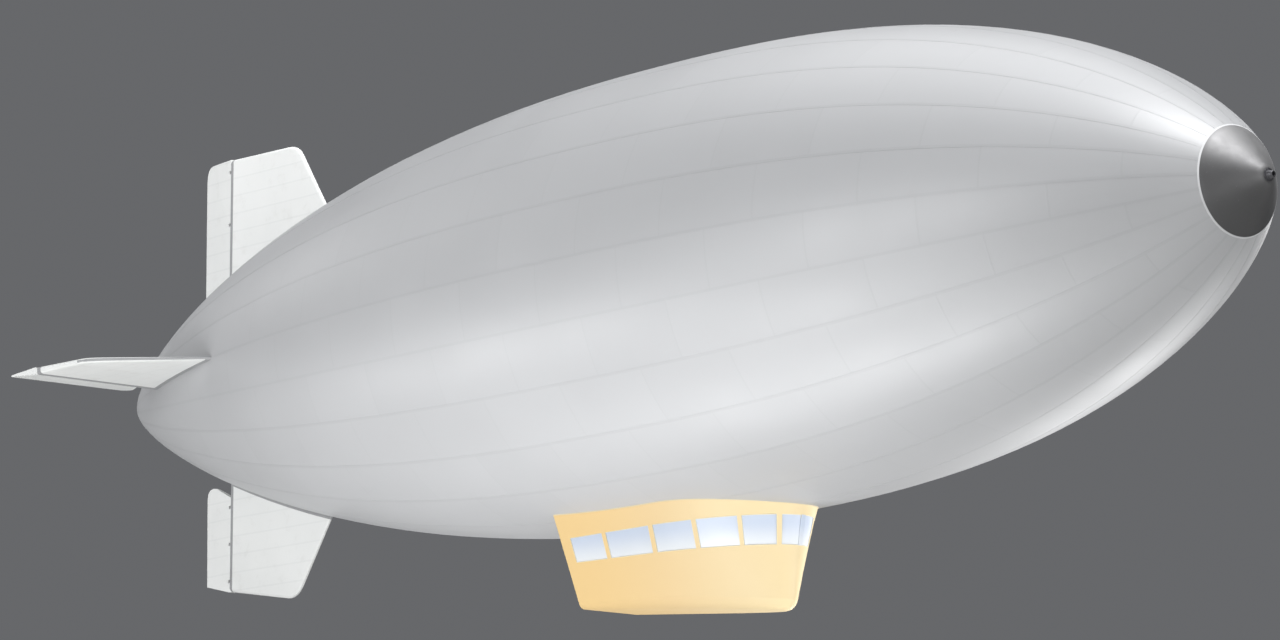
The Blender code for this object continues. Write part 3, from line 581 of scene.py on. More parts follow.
def bright_metal(name, colour, roughness):
    """Brushed and lightly smudged metal."""
    metal = Finish(name, metallic=1.0, roughness=roughness)
    stretched = metal.node("ShaderNodeMapping", {0: metal.point(), 3: (40.0, 40.0, 400.0)})
    brushed = metal.node("ShaderNodeTexNoise", {"Vector": stretched, "Scale": 1.0})
    smudges = metal.noise(18.0, 4.0)
    uneven = smudges * 0.6 + brushed * 0.4
    metal.give(colour=metal.mix(smudges, lighter(colour, 0.9), lighter(colour, 1.06)),
               roughness=metal.between(uneven, 0.3, 0.7, roughness * 0.8, roughness * 1.3))
    metal.relief(brushed, 0.0002, 0.3)
    return metal


def moulded_plastic(name, colour, roughness, grain=160.0):
    """Grained plastic or rubber, with faint scuffs."""
    plastic = Finish(name, roughness=roughness, specular=0.4)
    scuffs = plastic.between(plastic.noise(12.0, 6.0, 0.7), 0.55, 0.75)
    mottle = plastic.noise(2.5, 3.0)
    colours = plastic.mix(mottle, lighter(colour, 0.92), lighter(colour, 1.08))
    plastic.give(colour=plastic.mix(scuffs * 0.15, colours, lighter(colour, 1.8)),
                 roughness=plastic.between(mottle, 0.3, 0.7, roughness * 0.88, roughness * 1.12))
    plastic.relief(plastic.noise(grain, 3.0), 0.0006, 0.4)
    return plastic


def seat_cloth():
    """Blue-grey twill."""
    cloth = Finish("seat_twill", roughness=0.88, specular=0.2, sheen=0.35)
    x, y, z = cloth.along()
    twill = cloth.wave(x + y + z, 0.005)
    ribs = cloth.wave(x - y + z, 0.005)
    wear = cloth.noise(5.0, 4.0)
    colours = cloth.mix(wear, shade(72, 82, 104), shade(92, 102, 124))
    raised = cloth.between(twill * ribs, -0.6, 0.6, 0.0, 0.3)
    cloth.give(colour=cloth.mix(raised, colours, shade(56, 64, 84)))
    cloth.relief(0.5 + 0.25 * twill + 0.25 * ribs, 0.0005, 0.6)
    return cloth


ENVELOPE_SILVER = silver_fabric("silver_envelope_cloth", shade(170, 171, 173), True)
SEAM_SILVER = silver_fabric("silver_seam_tape", shade(167, 168, 170), False)
CAP_FINISH = moulded_cap()
FIN_WHITE = doped_cloth()
TAPE_GREY = sealing_tape()
CREAM = cream_enamel()
LINING = cabin_lining()
# Both glasses carry a painted reflection in their colour; the second covers the bow post.
GLASS = window_glass("tinted_acrylic", shade(210, 214, 218), shade(184, 194, 210), 0.84, 0.88)
JOINT_GLASS = window_glass("backed_acrylic", shade(195, 199, 204), shade(171, 181, 197), 0.98, 1.0)
STEEL = bright_metal("brushed_steel", (0.56, 0.57, 0.58, 1.0), 0.30)
GUNMETAL = bright_metal("gunmetal", (0.12, 0.12, 0.13, 1.0), 0.46)
GASKET = moulded_plastic("window_gasket", shade(212, 200, 168), 0.6)
ROOF_SEAL = moulded_plastic("cabin_roof_seal", shade(196, 182, 150), 0.6, 90.0)
DIAL_FACE = moulded_plastic("dial_face", shade(34, 36, 40), 0.45)
DIAL_MARKS = moulded_plastic("dial_marks", shade(226, 226, 218), 0.5)
GRIP = moulded_plastic("wheel_grip", shade(40, 41, 44), 0.75, 90.0)
PIPING = moulded_plastic("seat_piping", shade(150, 154, 164), 0.7)
SEAT_SHELL = moulded_plastic("seat_shell", shade(120, 124, 130), 0.5)
CONSOLE_BLACK = moulded_plastic("console_black", shade(52, 54, 58), 0.5)
DECK_MAT = moulded_plastic("deck_mat", shade(96, 98, 100), 0.8, 60.0)
SEAT_CLOTH = seat_cloth()


# Envelope and nose

SEAM_TOLERANCE = 0.01
CAP_SIDES = 128
CAP_LAST_SHARE = 0.985
SPINDLE_SIDES = 64


def hull_radius(x):
    share = (NOSE_X - BOW_SETBACK - x) / (LENGTH - BOW_SETBACK)
    share = min(max(share, 0.0), 1.0)
    if share < WIDEST_SHARE:
        return MAX_RADIUS * (1 - (1 - share / WIDEST_SHARE) ** BOW_POWER) ** (1 / BOW_ROOT)
    behind = (share - WIDEST_SHARE) / (1 - WIDEST_SHARE)
    return MAX_RADIUS * max(1 - behind ** STERN_POWER, 0.0) ** STERN_ROOT


CAP_RING_RADIUS = hull_radius(CAP_RING_X)


def hull_point(x, lift):
    """A point (x, radius) on the envelope, lifted off it along its normal."""
    step = 0.002
    slope = (hull_radius(x + step) - hull_radius(x - step)) / (2 * step)
    scale = lift / math.hypot(1.0, slope)
    return (x - slope * scale, hull_radius(x) + scale)


def hull_outline(stations, lift=0.0):
    points = []
    for index in range(stations - 1):
        share = 0.5 - 0.5 * math.cos(math.pi * index / (stations - 1))
        points.append(hull_point(CAP_RING_X + (TAIL_X - CAP_RING_X) * share, lift))
    return points + [(TAIL_X - lift, 0.0)]


def seam_share(place):
    """How far a point is from the nearest gore seam, as a share of a gore."""
    turns = math.atan2(place.y, place.z) / math.tau * GORES
    return abs(turns - round(turns))


def build_envelope():
    envelope = lathe("envelope_skin", hull_outline(STATIONS), GORES * SIDES_PER_GORE)
    outwards(envelope)
    envelope.data.materials.append(ENVELOPE_SILVER.material)
    with editing(envelope, "EDGE") as mesh:
        def on_seam(edge):
            ends = [vert.co for vert in edge.verts]
            wide = all(math.hypot(end.y, end.z) > TAPE_END_RADIUS for end in ends)
            return wide and all(seam_share(end) < SEAM_TOLERANCE for end in ends)
        choose(envelope, mesh.edges, on_seam)
        bpy.ops.mesh.bevel(offset=TAPE_HALF_WIDTH, segments=1, affect="EDGES")
        bpy.ops.mesh.select_mode(type="FACE")
        bpy.ops.mesh.extrude_region_shrink_fatten(TRANSFORM_OT_shrink_fatten={"value": TAPE_THICKNESS})
        assign(envelope, SEAM_SILVER)
    work(envelope, "SOLIDIFY", thickness=SKIN, offset=-1.0)
    smooth(envelope, 40)
    fit(envelope, "hull", "envelope_fabric", None, "envelope")


def cap_point(share, inset=0.0):
    x = NOSE_X - CAP_LENGTH * share
    radius = CAP_RING_RADIUS * share ** CAP_ROUNDING
    slope = CAP_RING_RADIUS * CAP_ROUNDING * share ** (CAP_ROUNDING - 1) / CAP_LENGTH
    scale = inset / math.hypot(1.0, slope)
    return (x - slope * scale, radius - scale)


def build_nose():
    tip_share = (CAP_TIP_RADIUS / CAP_RING_RADIUS) ** (1 / CAP_ROUNDING)
    shares = spread(tip_share, CAP_LAST_SHARE, 15)
    face_x = cap_point(tip_share)[0]
    hole = MOORING_RADIUS + 0.0005
    lip = [hull_point(CAP_RING_X - along, lift) for along, lift in (
        (0.002, CAP_LIP_PROUD * 0.8), (0.010, CAP_LIP_PROUD), (CAP_LIP - 0.008, CAP_LIP_PROUD),
        (CAP_LIP - 0.003, CAP_LIP_PROUD * 0.7), (CAP_LIP, CAP_LIP_PROUD * 0.25), (CAP_LIP, -0.001))]
    outline = [(face_x, hole), (face_x, CAP_TIP_RADIUS - 0.008)]
    outline += [cap_point(share) for share in shares] + lip
    outline += [hull_point(CAP_RING_X - 0.010, -CAP_WALL)]
    outline += [cap_point(share, CAP_WALL) for share in shares[:1:-1]]
    outline += [(face_x - CAP_WALL * 1.5, hole), (face_x, hole)]
    cap = lathe("nose_cap_shell", outline, CAP_SIDES)
    outwards(cap)
    smooth(cap, 40)
    fit(cap, "hull", "cap_plastic", CAP_FINISH, "nose_cap")

    spindle = lathe("mooring_spindle", [
        (MOORING_FACE_X, 0.046), (MOORING_FACE_X, 0.058), (MOORING_FACE_X - 0.003, 0.062),
        (MOORING_FACE_X - 0.012, 0.070), (face_x + 0.032, 0.085), (face_x + 0.026, 0.094),
        (face_x + 0.022, 0.118), (face_x + 0.019, 0.131), (face_x + 0.013, MOORING_COLLAR),
        (face_x + 0.0005, MOORING_COLLAR), (face_x + 0.0005, MOORING_RADIUS),
        (face_x - 0.13, MOORING_RADIUS), (face_x - 0.16, MOORING_RADIUS - 0.02), (face_x - 0.16, 0.030),
        (MOORING_FACE_X - 0.05, 0.026), (MOORING_FACE_X - 0.05, 0.040), (MOORING_FACE_X - 0.006, 0.042),
        (MOORING_FACE_X, 0.046)], SPINDLE_SIDES)
    outwards(spindle)
    smooth(spindle, 40)
    fit(spindle, "hull", "bare_steel", GUNMETAL, "mooring_fitting")


# Fins

SLEEVE_MERGE = 0.0005
FIN_REACH = 6.5
STRIP_LENGTH = 1.0
CUTTER_STATIONS = 60
CUTTER_SIDES = 96


def build_sleeve(node, name, cutter, thickness, slot, finish):
    """A thin sleeve over the part of a node that lies inside a cutter."""
    sleeve = copy_of(node, name)
    work(sleeve, "BOOLEAN", operation="INTERSECT", solver="EXACT", object=cutter)
    outwards(sleeve, SLEEVE_MERGE)
    with editing(sleeve, "VERT", True):
        bpy.ops.transform.shrink_fatten(value=thickness, use_even_offset=False)
    smooth(sleeve, 35)
    fit(sleeve, "hull", slot, finish)


GUARD_RADIUS = 0.029
# The leading edge of a horizontal fin: points of (x, span)
GUARDED_EDGE = ((-11.70, 2.44), (-14.42, 5.13), (-14.58, 5.27), (-14.78, 5.37), (-15.06, 5.425))


def build_guards():
    """A grey guard along the leading edge of each horizontal fin."""
    for label, side in SIDES:
        points = [(x, side * span, 0.0) for x, span in GUARDED_EDGE]
        guard = tube("fin_%s_edge_guard" % label, points, GUARD_RADIUS, False, 6)
        fit(guard, "hull", "fin_fabric", TAPE_GREY)


def build_fins():
    for fin, surface, hinge_x, hinge_tape, root_tape in FIN_ROWS:
        for node, body in ((fin, "hull"), (surface, surface)):
            skin = copy_of(node, node + "_skin")
            smooth(skin, 30)
            fit(skin, body, "fin_fabric", FIN_WHITE, node)
        taped_hull = lathe("taped_hull", hull_outline(CUTTER_STATIONS, root_tape), CUTTER_SIDES)
        with editing(taped_hull, "EDGE") as mesh:
            choose(taped_hull, mesh.edges, lambda edge: edge.is_boundary)
            bpy.ops.mesh.edge_face_add()
        outwards(taped_hull)
        reach = hinge_x + FIN_END_AHEAD + hinge_tape
        strip = block("hinge_strip", (reach - STRIP_LENGTH, -FIN_REACH, -FIN_REACH),
                      (reach, FIN_REACH, FIN_REACH))
        build_sleeve(fin, fin + "_root_tape", taped_hull, FIN_TAPE_THICKNESS, "fin_fabric", TAPE_GREY)
        build_sleeve(fin, fin + "_hinge_tape", strip, FIN_TAPE_THICKNESS * 1.5, "fin_fabric", TAPE_GREY)
        bpy.data.objects.remove(taped_hull)
        bpy.data.objects.remove(strip)
        frame["nodes"][surface + "_hinge_rod"].material_slots[0].material = STEEL.material


# Cabin

def keel_z(x):
    return KEEL_REAR_Z + KEEL_SLOPE * (x - CABIN_REAR_X)


def cabin_point(xi, level, inset, side):
    """A point of the cabin's wall, from the bulkhead at xi 0 to the bow at xi 1."""
    x = CABIN_REAR_X + (CABIN_FRONT_TOP_X - CABIN_REAR_X) * xi
    y = 0.0
    for _ in range(6):
        z = level(x)
        drop = (CABIN_TOP_Z - z) / (CABIN_TOP_Z - keel_z(x))
        half = CABIN_HALF_TOP + (CABIN_HALF_BOTTOM - CABIN_HALF_TOP) * drop - inset
        front = CABIN_FRONT_TOP_X + (CABIN_FRONT_BOTTOM_X - CABIN_FRONT_TOP_X) * drop - inset
        curve = BOW_CURVE_TOP + (BOW_CURVE_BOTTOM - BOW_CURVE_TOP) * drop
        x = max(CABIN_REAR_X + (front - CABIN_REAR_X) * xi, WALL_START_X)
        ahead = max((x - (front - curve)) / curve, 0.0)
        y = half * max(1 - ahead ** BOW_CURVE_POWER, 0.0) ** (1 / BOW_CURVE_POWER)
    return Vector((x, y * side, level(x)))


def flat(z, slope=0.0):
    return lambda x: z + slope * (x - CABIN_REAR_X)


WINDOW_TOP = flat(WINDOW_TOP_Z)
WINDOW_SILL = flat(WINDOW_SILL_Z, WINDOW_SILL_SLOPE)


CABIN_WALLS = (
    ("cabin_side_starboard", "cabin_wall_starboard", "hull"),
    ("cabin_side_port", "cabin_wall_port", "hull"),
    ("cabin_bow", "cabin_wall_bow", "hull"),
    ("cabin_pan", "cabin_bilge", "hull"),
    ("cabin_bulkhead", "cabin_rear_wall", "hull"),
    ("cabin_door", "cabin_door_leaf", "door"),
)
CABIN_HEART = Vector((1.0, 0.0, -5.7))
BULKHEAD_DEPTH = 0.06
SIDE_END_X = 3.4
BEAD_INSET = 0.006
BEAD_RADIUS = 0.009
POST_LOW_X = 3.0
POST_HIGH_X = 4.6
POST_FACE_X = 4.0
POST_HALF = 0.056
POST_COVER = 0.004


def line_inside(piece):
    """Give the faces that look into the cabin the lining's finish."""
    with editing(piece, "FACE") as mesh:
        def looks_in(face):
            middle = face.calc_center_median()
            towards = CABIN_HEART - middle
            if CABIN_REAR_X + BULKHEAD_DEPTH < middle.x < SIDE_END_X:
                towards.x = 0.0
            return face.normal.dot(towards.normalized()) > 0.45
        choose(piece, mesh.faces, looks_in)
        assign(piece, LINING)


def build_cabin_walls():
    for node, name, body in CABIN_WALLS:
        wall = copy_of(node, name)
        smooth(wall, 28)
        wall.data.materials.append(CREAM.material)
        line_inside(wall)
        fit(wall, body, "cabin_paint", None, node)
    for node, finish in (("cabin_deck", DECK_MAT), ("cabin_roof", LINING)):
        frame["nodes"][node].material_slots[0].material = finish.material


def build_bead(name, across, body):
    """A rubber bead around the glass between two upright edges of the cabin's wall."""
    outline = [cabin_point(xi, WINDOW_TOP, BEAD_INSET, side) for xi, side in across]
    outline += [cabin_point(xi, WINDOW_SILL, BEAD_INSET, side) for xi, side in across[::-1]]
    fit(tube(name, outline, BEAD_RADIUS, True, 2), body, "panel_black", GASKET)


def build_windows():
    for number, (first, last) in enumerate(WINDOWS, 1):
        for label, side in SIDES:
            body = "door" if label == "port" and number == 3 else "hull"
            node = "window_%s_%d" % (label, number)
            pane = copy_of(node, "pane_%s_%d" % (label, number))
            smooth(pane, 30)
            fit(pane, body, "clear_glass", GLASS, node)
            if number < len(WINDOWS):
                across = [(xi, side) for xi in spread(first, last, 12 if number > 3 else 4)]
                build_bead("gasket_%s_%d" % (label, number), across, body)
    across = spread(WINDOWS[-1][0], 1.0, 16)
    build_bead("gasket_bow", [(xi, -1) for xi in across] + [(xi, 1) for xi in across[-2::-1]], "hull")
    post = block("bow_post_reach", (POST_LOW_X, -POST_HALF, WINDOW_SILL(POST_FACE_X)),
                 (POST_HIGH_X, POST_HALF, WINDOW_TOP_Z))
    build_sleeve("cabin_bow", "bow_window_joint_cover", post, POST_COVER, "clear_glass", JOINT_GLASS)
    bpy.data.objects.remove(post)


# The cabin's outer trim

ROOF_LINE_RANGE = (-5.1, -4.4)
REAR_SEAL_STEPS = 16
STIFFENER_ROWS = ((-5.35, 1.22), (-6.10, 0.93))
STIFFENER_HALF = 0.045
STIFFENER_PROUD = 0.014
STIFFENER_SUNK = 0.004


def roof_line(xi, side):
    """Where the cabin's wall meets the envelope, found by halving."""
    low, high = ROOF_LINE_RANGE
    for _ in range(30):
        middle = (low + high) / 2
        point = cabin_point(xi, flat(middle), 0.0, side)
        if math.hypot(point.y, point.z) > hull_radius(point.x):
            low = middle
        else:
            high = middle
    return cabin_point(xi, flat(low), 0.0, side)


def build_cabin_trim():
    along = spread(0.0, 0.75, 30) + spread(0.76, 1.0, 40)
    line = [roof_line(xi, -1) for xi in along] + [roof_line(xi, 1) for xi in along[-2::-1]]
    rear = line[-1]
    for index in range(1, REAR_SEAL_STEPS):
        y = rear.y * (1 - 2 * index / REAR_SEAL_STEPS)
        line.append(Vector((CABIN_REAR_X, y, -math.sqrt(hull_radius(CABIN_REAR_X) ** 2 - y * y))))
    seal = tube("cabin_roof_seal", line, ROOF_SEAL_RADIUS, True, 4)
    fit(seal, "hull", "cabin_paint", ROOF_SEAL)

    stiffeners = []
    for z, half in STIFFENER_ROWS:
        rib = block("stiffener", (CABIN_REAR_X - STIFFENER_PROUD, -half, z - STIFFENER_HALF),
                    (CABIN_REAR_X + STIFFENER_SUNK, half, z + STIFFENER_HALF))
        stiffeners.append(rounded(rib, 0.010))
    ribs = joined("rear_wall_stiffeners", stiffeners)
    fit(ribs, "hull", "cabin_paint", CREAM)

    lever = copy_of("door_handle", "door_lever")
    fit(rounded(lever, 0.004), "door", "bare_steel", STEEL, "door_handle")


# Seats and bench

PILOT_SIZES = (0.20, 0.30, 0.55, 0.42, (-0.07, 0.07), 0.009)
# Each seat's name, x, y, half width, pan height, back height, depth, sewn channels and cushion mesh size
SEATS = (
    ("pilot_seat_starboard", 1.86, -0.255, *PILOT_SIZES),
    ("pilot_seat_port", 1.86, 0.255, *PILOT_SIZES),
    ("passenger_bench", -1.22, 0.0, 0.54, 0.30, 0.50, 0.44, (-0.36, -0.18, 0.0, 0.18, 0.36), 0.012),
)
DECK_TOP = 0.0703
BACK_LEAN = 0.08
CUSHION_SPLIT = 0.093
CUSHION_SLACK = 0.007
CUSHION_REACH = 0.014
CHANNEL_HALF_WIDTH = 0.016
CHANNEL_DEPTH = 0.007
SHELL_ROUNDING = 0.007
STUFFING_PRESSURE = 4.0
STUFFING_FRAMES = 20
REST_GAP = 0.0008
PIPING_RADIUS = 0.0042
SEAT_SEAM_HEIGHT = 0.060
SEAT_SEAM_SLOPE = 0.045
BACK_SEAM_DEPTH = 0.042


def swell(piece, reach):
    """Blow a cushion up with cloth pressure, letting no point move further than its reach."""
    start = [vert.co.copy() for vert in piece.data.vertices]
    cloth = piece.modifiers.new("stuffing", "CLOTH")
    cloth.settings.use_pressure = True
    cloth.settings.uniform_pressure_force = STUFFING_PRESSURE
    cloth.settings.effector_weights.gravity = 0.0
    cloth.point_cache.frame_start = 1
    cloth.point_cache.frame_end = STUFFING_FRAMES
    for moment in range(1, STUFFING_FRAMES + 1):
        bpy.context.scene.frame_set(moment)
    pick(piece)
    bpy.ops.object.modifier_apply(modifier="stuffing")
    bpy.context.scene.frame_set(1)
    for vert, before in zip(piece.data.vertices, start):
        moved = vert.co - before
        if moved.length > reach:
            vert.co = before + moved * (reach / moved.length)


def sew_channels(piece, channels, facing):
    """Draw a cushion in along its sewn channels, on the side that a direction faces."""
    normals = [vert.normal.copy() for vert in piece.data.vertices]
    for vert, normal in zip(piece.data.vertices, normals):
        if normal.dot(facing) < 0.1:
            continue
        away = min(abs(vert.co.y - y) for y in channels) / CHANNEL_HALF_WIDTH
        if away < 1.0:
            vert.co -= normal * (CHANNEL_DEPTH * (1 - away * away) ** 2)


def keep_off(piece, point, facing):
    """Flatten a cushion where it lies against the plane through a point."""
    for vert in piece.data.vertices:
        depth = (vert.co - point).dot(facing)
        if depth < REST_GAP:
            vert.co += facing * (REST_GAP - depth)


def piping(piece, name, point, facing):
    """Piping along the line where a plane meets a cushion."""
    cord = duplicate(piece, name)
    with editing(cord, "VERT", True):
        bpy.ops.mesh.bisect(plane_co=point, plane_no=facing, clear_inner=True, clear_outer=True)
    pick(cord)
    bpy.ops.object.convert(target="CURVE")
    cord = bpy.context.object
    cord.data.bevel_depth = PIPING_RADIUS
    cord.data.bevel_resolution = 2
    bpy.ops.object.convert(target="MESH")
    cord = bpy.context.object
    cord.name = name
    outwards(cord)
    smooth(cord, 60)
    fit(cord, "hull", "seat_cloth", PIPING)


def build_seats():
    for name, x, y, half, pan_height, back_height, depth, channels, voxel in SEATS:
        shell = copy_of(name + "_frame", name + "_shell")
        fit(rounded(shell, SHELL_ROUNDING), "hull", "seat_frame", SEAT_SHELL, name + "_frame")
        pan = keel_z(x) + DECK_TOP + pan_height
        rear = x - depth / 2
        back_facing = Vector((back_height, 0.0, BACK_LEAN)).normalized()
        halves = (
            ("seat", False, Vector((0, 0, 1)), Vector((x, y, pan)),
             Vector((x, y, pan + SEAT_SEAM_HEIGHT)), Vector((-SEAT_SEAM_SLOPE, 0, 1)).normalized()),
            ("back", True, back_facing, Vector((rear, y, pan)),
             Vector((rear + BACK_SEAM_DEPTH, y, pan)), back_facing),
        )
        for label, upper, facing, rest, seam, seam_facing in halves:
            cushion = copy_of(name + "_pad", "%s_%s_cushion" % (name, label))
            with editing(cushion, "VERT", True):
                bpy.ops.mesh.bisect(plane_co=(x, y, pan + CUSHION_SPLIT), plane_no=(0, 0, 1), use_fill=True,
                                    clear_inner=upper, clear_outer=not upper)
                bpy.ops.mesh.select_all(action="SELECT")
                bpy.ops.mesh.normals_make_consistent(inside=False)
                bpy.ops.transform.shrink_fatten(value=-CUSHION_SLACK, use_even_offset=True)
            work(cushion, "REMESH", mode="VOXEL", voxel_size=voxel)
            swell(cushion, CUSHION_REACH)
            work(cushion, "SUBSURF", levels=1, render_levels=1)
            sew_channels(cushion, [y + channel for channel in channels], facing)
            keep_off(cushion, rest, facing)
            smooth(cushion, 80)
            fit(cushion, "hull", "seat_cloth", SEAT_CLOTH, name + "_pad")
            piping(cushion, "%s_%s_piping" % (name, label), seam, seam_facing)


# Console and control wheels

CONSOLE_REAR = 2.50
CONSOLE_FOOT_X = 2.7
CONSOLE_HEIGHT = 0.72
CONSOLE_TOP = keel_z(CONSOLE_FOOT_X) + DECK_TOP + CONSOLE_HEIGHT
CONSOLE_SLOPE = 0.16
FACE_GAP = 0.0005
DIAL_RADIUS = 0.042
DIAL_STEPS = ((0.006, 1.0), (0.003, 0.94), (0.0, 0.86), (-0.005, 0.97))
MARKS = 12
MARK_CIRCLE = 0.0265
MARK_HALF_WIDTH = 0.0007
NEEDLE_TIP = 0.023
NEEDLE_FIRST, NEEDLE_STEP, NEEDLE_ROW_STEP = -2.1, 0.83, 1.7
# The rows of dials on the sloping face: how far up it, and the places across it
DIAL_ROWS = (
    (0.062, (-0.26, -0.16, -0.06, 0.06, 0.16, 0.26)),
    (0.160, (-0.21, -0.11, 0.11, 0.21)),
)
NUT_RADIUS = 0.0085
TOGGLE_STEPS = ((0.003, 1.0), (0.001, 0.9), (0.0, 0.62), (0.006, 0.9), (0.010, 1.25), (0.003, 0.7))
TOGGLES = 6
TOGGLE_PITCH = 0.024
TOGGLE_DROP = 0.215
WHEEL_RADIUS = 0.13
WHEEL_STAND_OFF = 0.15
WHEEL_SIDEWAYS = 0.19
WHEEL_DROP = 0.23
RIM_RADIUS = 0.0105
GRIP_THICKNESS = 0.0022
GRIP_LOW, GRIP_HIGH = -24, 40
SPOKE_DEPTH = 0.006
SPOKE_HALF = 0.013
COLUMN_RADIUS = 0.016
COLUMN_GAP = 0.0003
COLUMN_STEPS = ((-0.010, 1.0), (-0.002, 0.8), (-0.124, 1.0), (-0.004, 2.0), (-0.016, 1.0), (-0.004, 0.8))


def instrument():
    """A round instrument that faces up: a bezel, a sunk face and twelve marks."""
    case = disc("instrument", 48, DIAL_RADIUS)
    with editing(case, "FACE", True):
        draw_out(DIAL_STEPS, (0, 0, 1))
        case.data.materials.append(CONSOLE_BLACK.material)
        assign(case, DIAL_FACE)
    outwards(case)
    smooth(case, 40)
    parts = [case]
    for index in range(MARKS):
        angle = math.tau * index / MARKS
        long = 0.0042 if index % 3 == 0 else 0.0026
        place = Vector((math.sin(angle), math.cos(angle), 0.0)) * MARK_CIRCLE
        mark = block("mark", (place.x - MARK_HALF_WIDTH, place.y - long, 0.0035),
                     (place.x + MARK_HALF_WIDTH, place.y + long, 0.0046))
        with editing(mark, "VERT", True):
            bpy.ops.transform.rotate(value=angle, orient_axis="Z", center_override=tuple(place))
        parts.append(painted(mark, DIAL_MARKS))
    return joined("instrument", parts)


def needle(angle):
    hand = block("needle", (-0.0011, -0.006, 0.0050), (0.0011, NEEDLE_TIP, 0.0058))
    with editing(hand, "VERT") as mesh:
        choose(hand, mesh.verts, lambda vert: vert.co.y > 0)
        bpy.ops.transform.resize(value=(0.3, 1, 1), center_override=(0, NEEDLE_TIP, 0.0054))
        bpy.ops.mesh.select_all(action="SELECT")
        bpy.ops.transform.rotate(value=angle, orient_axis="Z", center_override=(0, 0, 0))
    return painted(hand, DIAL_MARKS)


def toggle():
    """A toggle switch that faces up: a hexagonal nut, a collar and a lever."""
    nut = disc("toggle", 6, NUT_RADIUS)
    with editing(nut, "FACE", True):
        draw_out(TOGGLE_STEPS, (0, 0, 1))
    outwards(nut)
    work(nut, "BEVEL", width=0.0006, segments=2)
    smooth(nut, 35)
    return painted(nut, STEEL)


def turned(*axes):
    """The turn that takes x, y and z to three directions."""
    return Matrix(axes).transposed().to_4x4()


def build_console():
    case = copy_of("instrument_console", "console_case")
    fit(rounded(case, 0.010), "hull", "panel_black", CONSOLE_BLACK, "instrument_console")

    # The dials lie on the sloping face and the toggles on the upright one below it.
    slope_foot = Vector((CONSOLE_REAR, 0.0, CONSOLE_TOP - CONSOLE_SLOPE))
    up_slope = Vector((CONSOLE_SLOPE, 0.0, CONSOLE_SLOPE)).normalized()
    sideways = Vector((0, -1, 0))
    facing = sideways.cross(up_slope).normalized()
    on_slope = turned(sideways, up_slope, facing)
    master = instrument()
    dials = []
    for row, (height, places) in enumerate(DIAL_ROWS):
        for index, y in enumerate(places):
            dial = duplicate(master, "dial")
            hand = needle(NEEDLE_FIRST + NEEDLE_STEP * index + NEEDLE_ROW_STEP * row)
            place = slope_foot + up_slope * height + facing * FACE_GAP + Vector((0, y, 0))
            for part in (dial, hand):
                part.data.transform(Matrix.Translation(place) @ on_slope)
            dials += [dial, hand]
    bpy.data.objects.remove(master)
    fit(joined("console_dials", dials), "hull", "panel_black", None)

    master = toggle()
    upright = turned((0, -1, 0), (0, 0, 1), (-1, 0, 0))
    toggles = []
    for index in range(TOGGLES):
        lever = duplicate(master, "lever")
        y = TOGGLE_PITCH * index - (TOGGLES - 1) / 2 * TOGGLE_PITCH
        place = Vector((CONSOLE_REAR - FACE_GAP, y, CONSOLE_TOP - TOGGLE_DROP))
        lever.data.transform(Matrix.Translation(place) @ upright)
        toggles.append(lever)
    bpy.data.objects.remove(master)
    fit(joined("console_toggles", toggles), "hull", "panel_black", None)


def build_control_wheels():
    hub_z = CONSOLE_TOP - WHEEL_DROP
    ring_x = CONSOLE_REAR - WHEEL_STAND_OFF
    for label, side in SIDES:
        y = side * WHEEL_SIDEWAYS
        deselect()
        bpy.ops.mesh.primitive_torus_add(major_radius=WHEEL_RADIUS, minor_radius=RIM_RADIUS,
                                         major_segments=72, minor_segments=16,
                                         location=(ring_x, y, hub_z), rotation=ALONG_X)
        ring = painted(made("ring"), GRIP)
        with editing(ring, "FACE") as mesh:
            def held(face):
                middle = face.calc_center_median()
                angle = math.degrees(math.atan2(middle.z - hub_z, abs(middle.y - y)))
                return GRIP_LOW < angle < GRIP_HIGH
            choose(ring, mesh.faces, held)
            bpy.ops.mesh.extrude_region_shrink_fatten(TRANSFORM_OT_shrink_fatten={"value": GRIP_THICKNESS})
        smooth(ring, 50)
        spoke = block("spoke", (ring_x - SPOKE_DEPTH, y - WHEEL_RADIUS, hub_z - SPOKE_HALF),
                      (ring_x + SPOKE_DEPTH, y + WHEEL_RADIUS, hub_z + SPOKE_HALF))
        painted(rounded(spoke, 0.004), CONSOLE_BLACK)
        foot = (CONSOLE_REAR - COLUMN_GAP, y, hub_z)
        column = disc("column", 32, COLUMN_RADIUS, location=foot, rotation=ALONG_X)
        with editing(column, "FACE", True):
            draw_out(COLUMN_STEPS, (1, 0, 0), (0, y, hub_z))
        outwards(column)
        painted(rounded(column, 0.001, 2), CONSOLE_BLACK)
        wheel = joined("wheel_" + label, [ring, spoke, column])
        fit(wheel, "hull", "panel_black", None, "control_wheel_" + label)


# Floor, light and camera

def build_stage():
    floor = disc("floor", 96, FLOOR_RADIUS, location=(0, 0, FLOOR_Z))
    concrete = Finish("pale_floor", roughness=0.75, specular=0.2)
    mottle = concrete.noise(0.06, 5.0)
    concrete.give(colour=concrete.mix(mottle, FLOOR_DARKER, FLOOR_PALER))
    open_below = concrete.node("ShaderNodeBsdfTransparent", {})
    underside = concrete.node("ShaderNodeNewGeometry", {}, "Backfacing")
    seen_above = Reading(concrete, concrete.shader.outputs[0])
    surface = concrete.node("ShaderNodeMixShader", {0: underside, 1: seen_above, 2: open_below})
    concrete.feed(concrete.tree.nodes["Material Output"].inputs["Surface"], surface)
    floor.data.materials.append(concrete.material)

    world = bpy.data.worlds.new("studio")
    world.use_nodes = True
    backdrop = world.node_tree.nodes["Background"]
    backdrop.inputs["Color"].default_value = BACKDROP
    backdrop.inputs["Strength"].default_value = 1.0
    bpy.context.scene.world = world
    bpy.context.scene.view_settings.view_transform = "Standard"


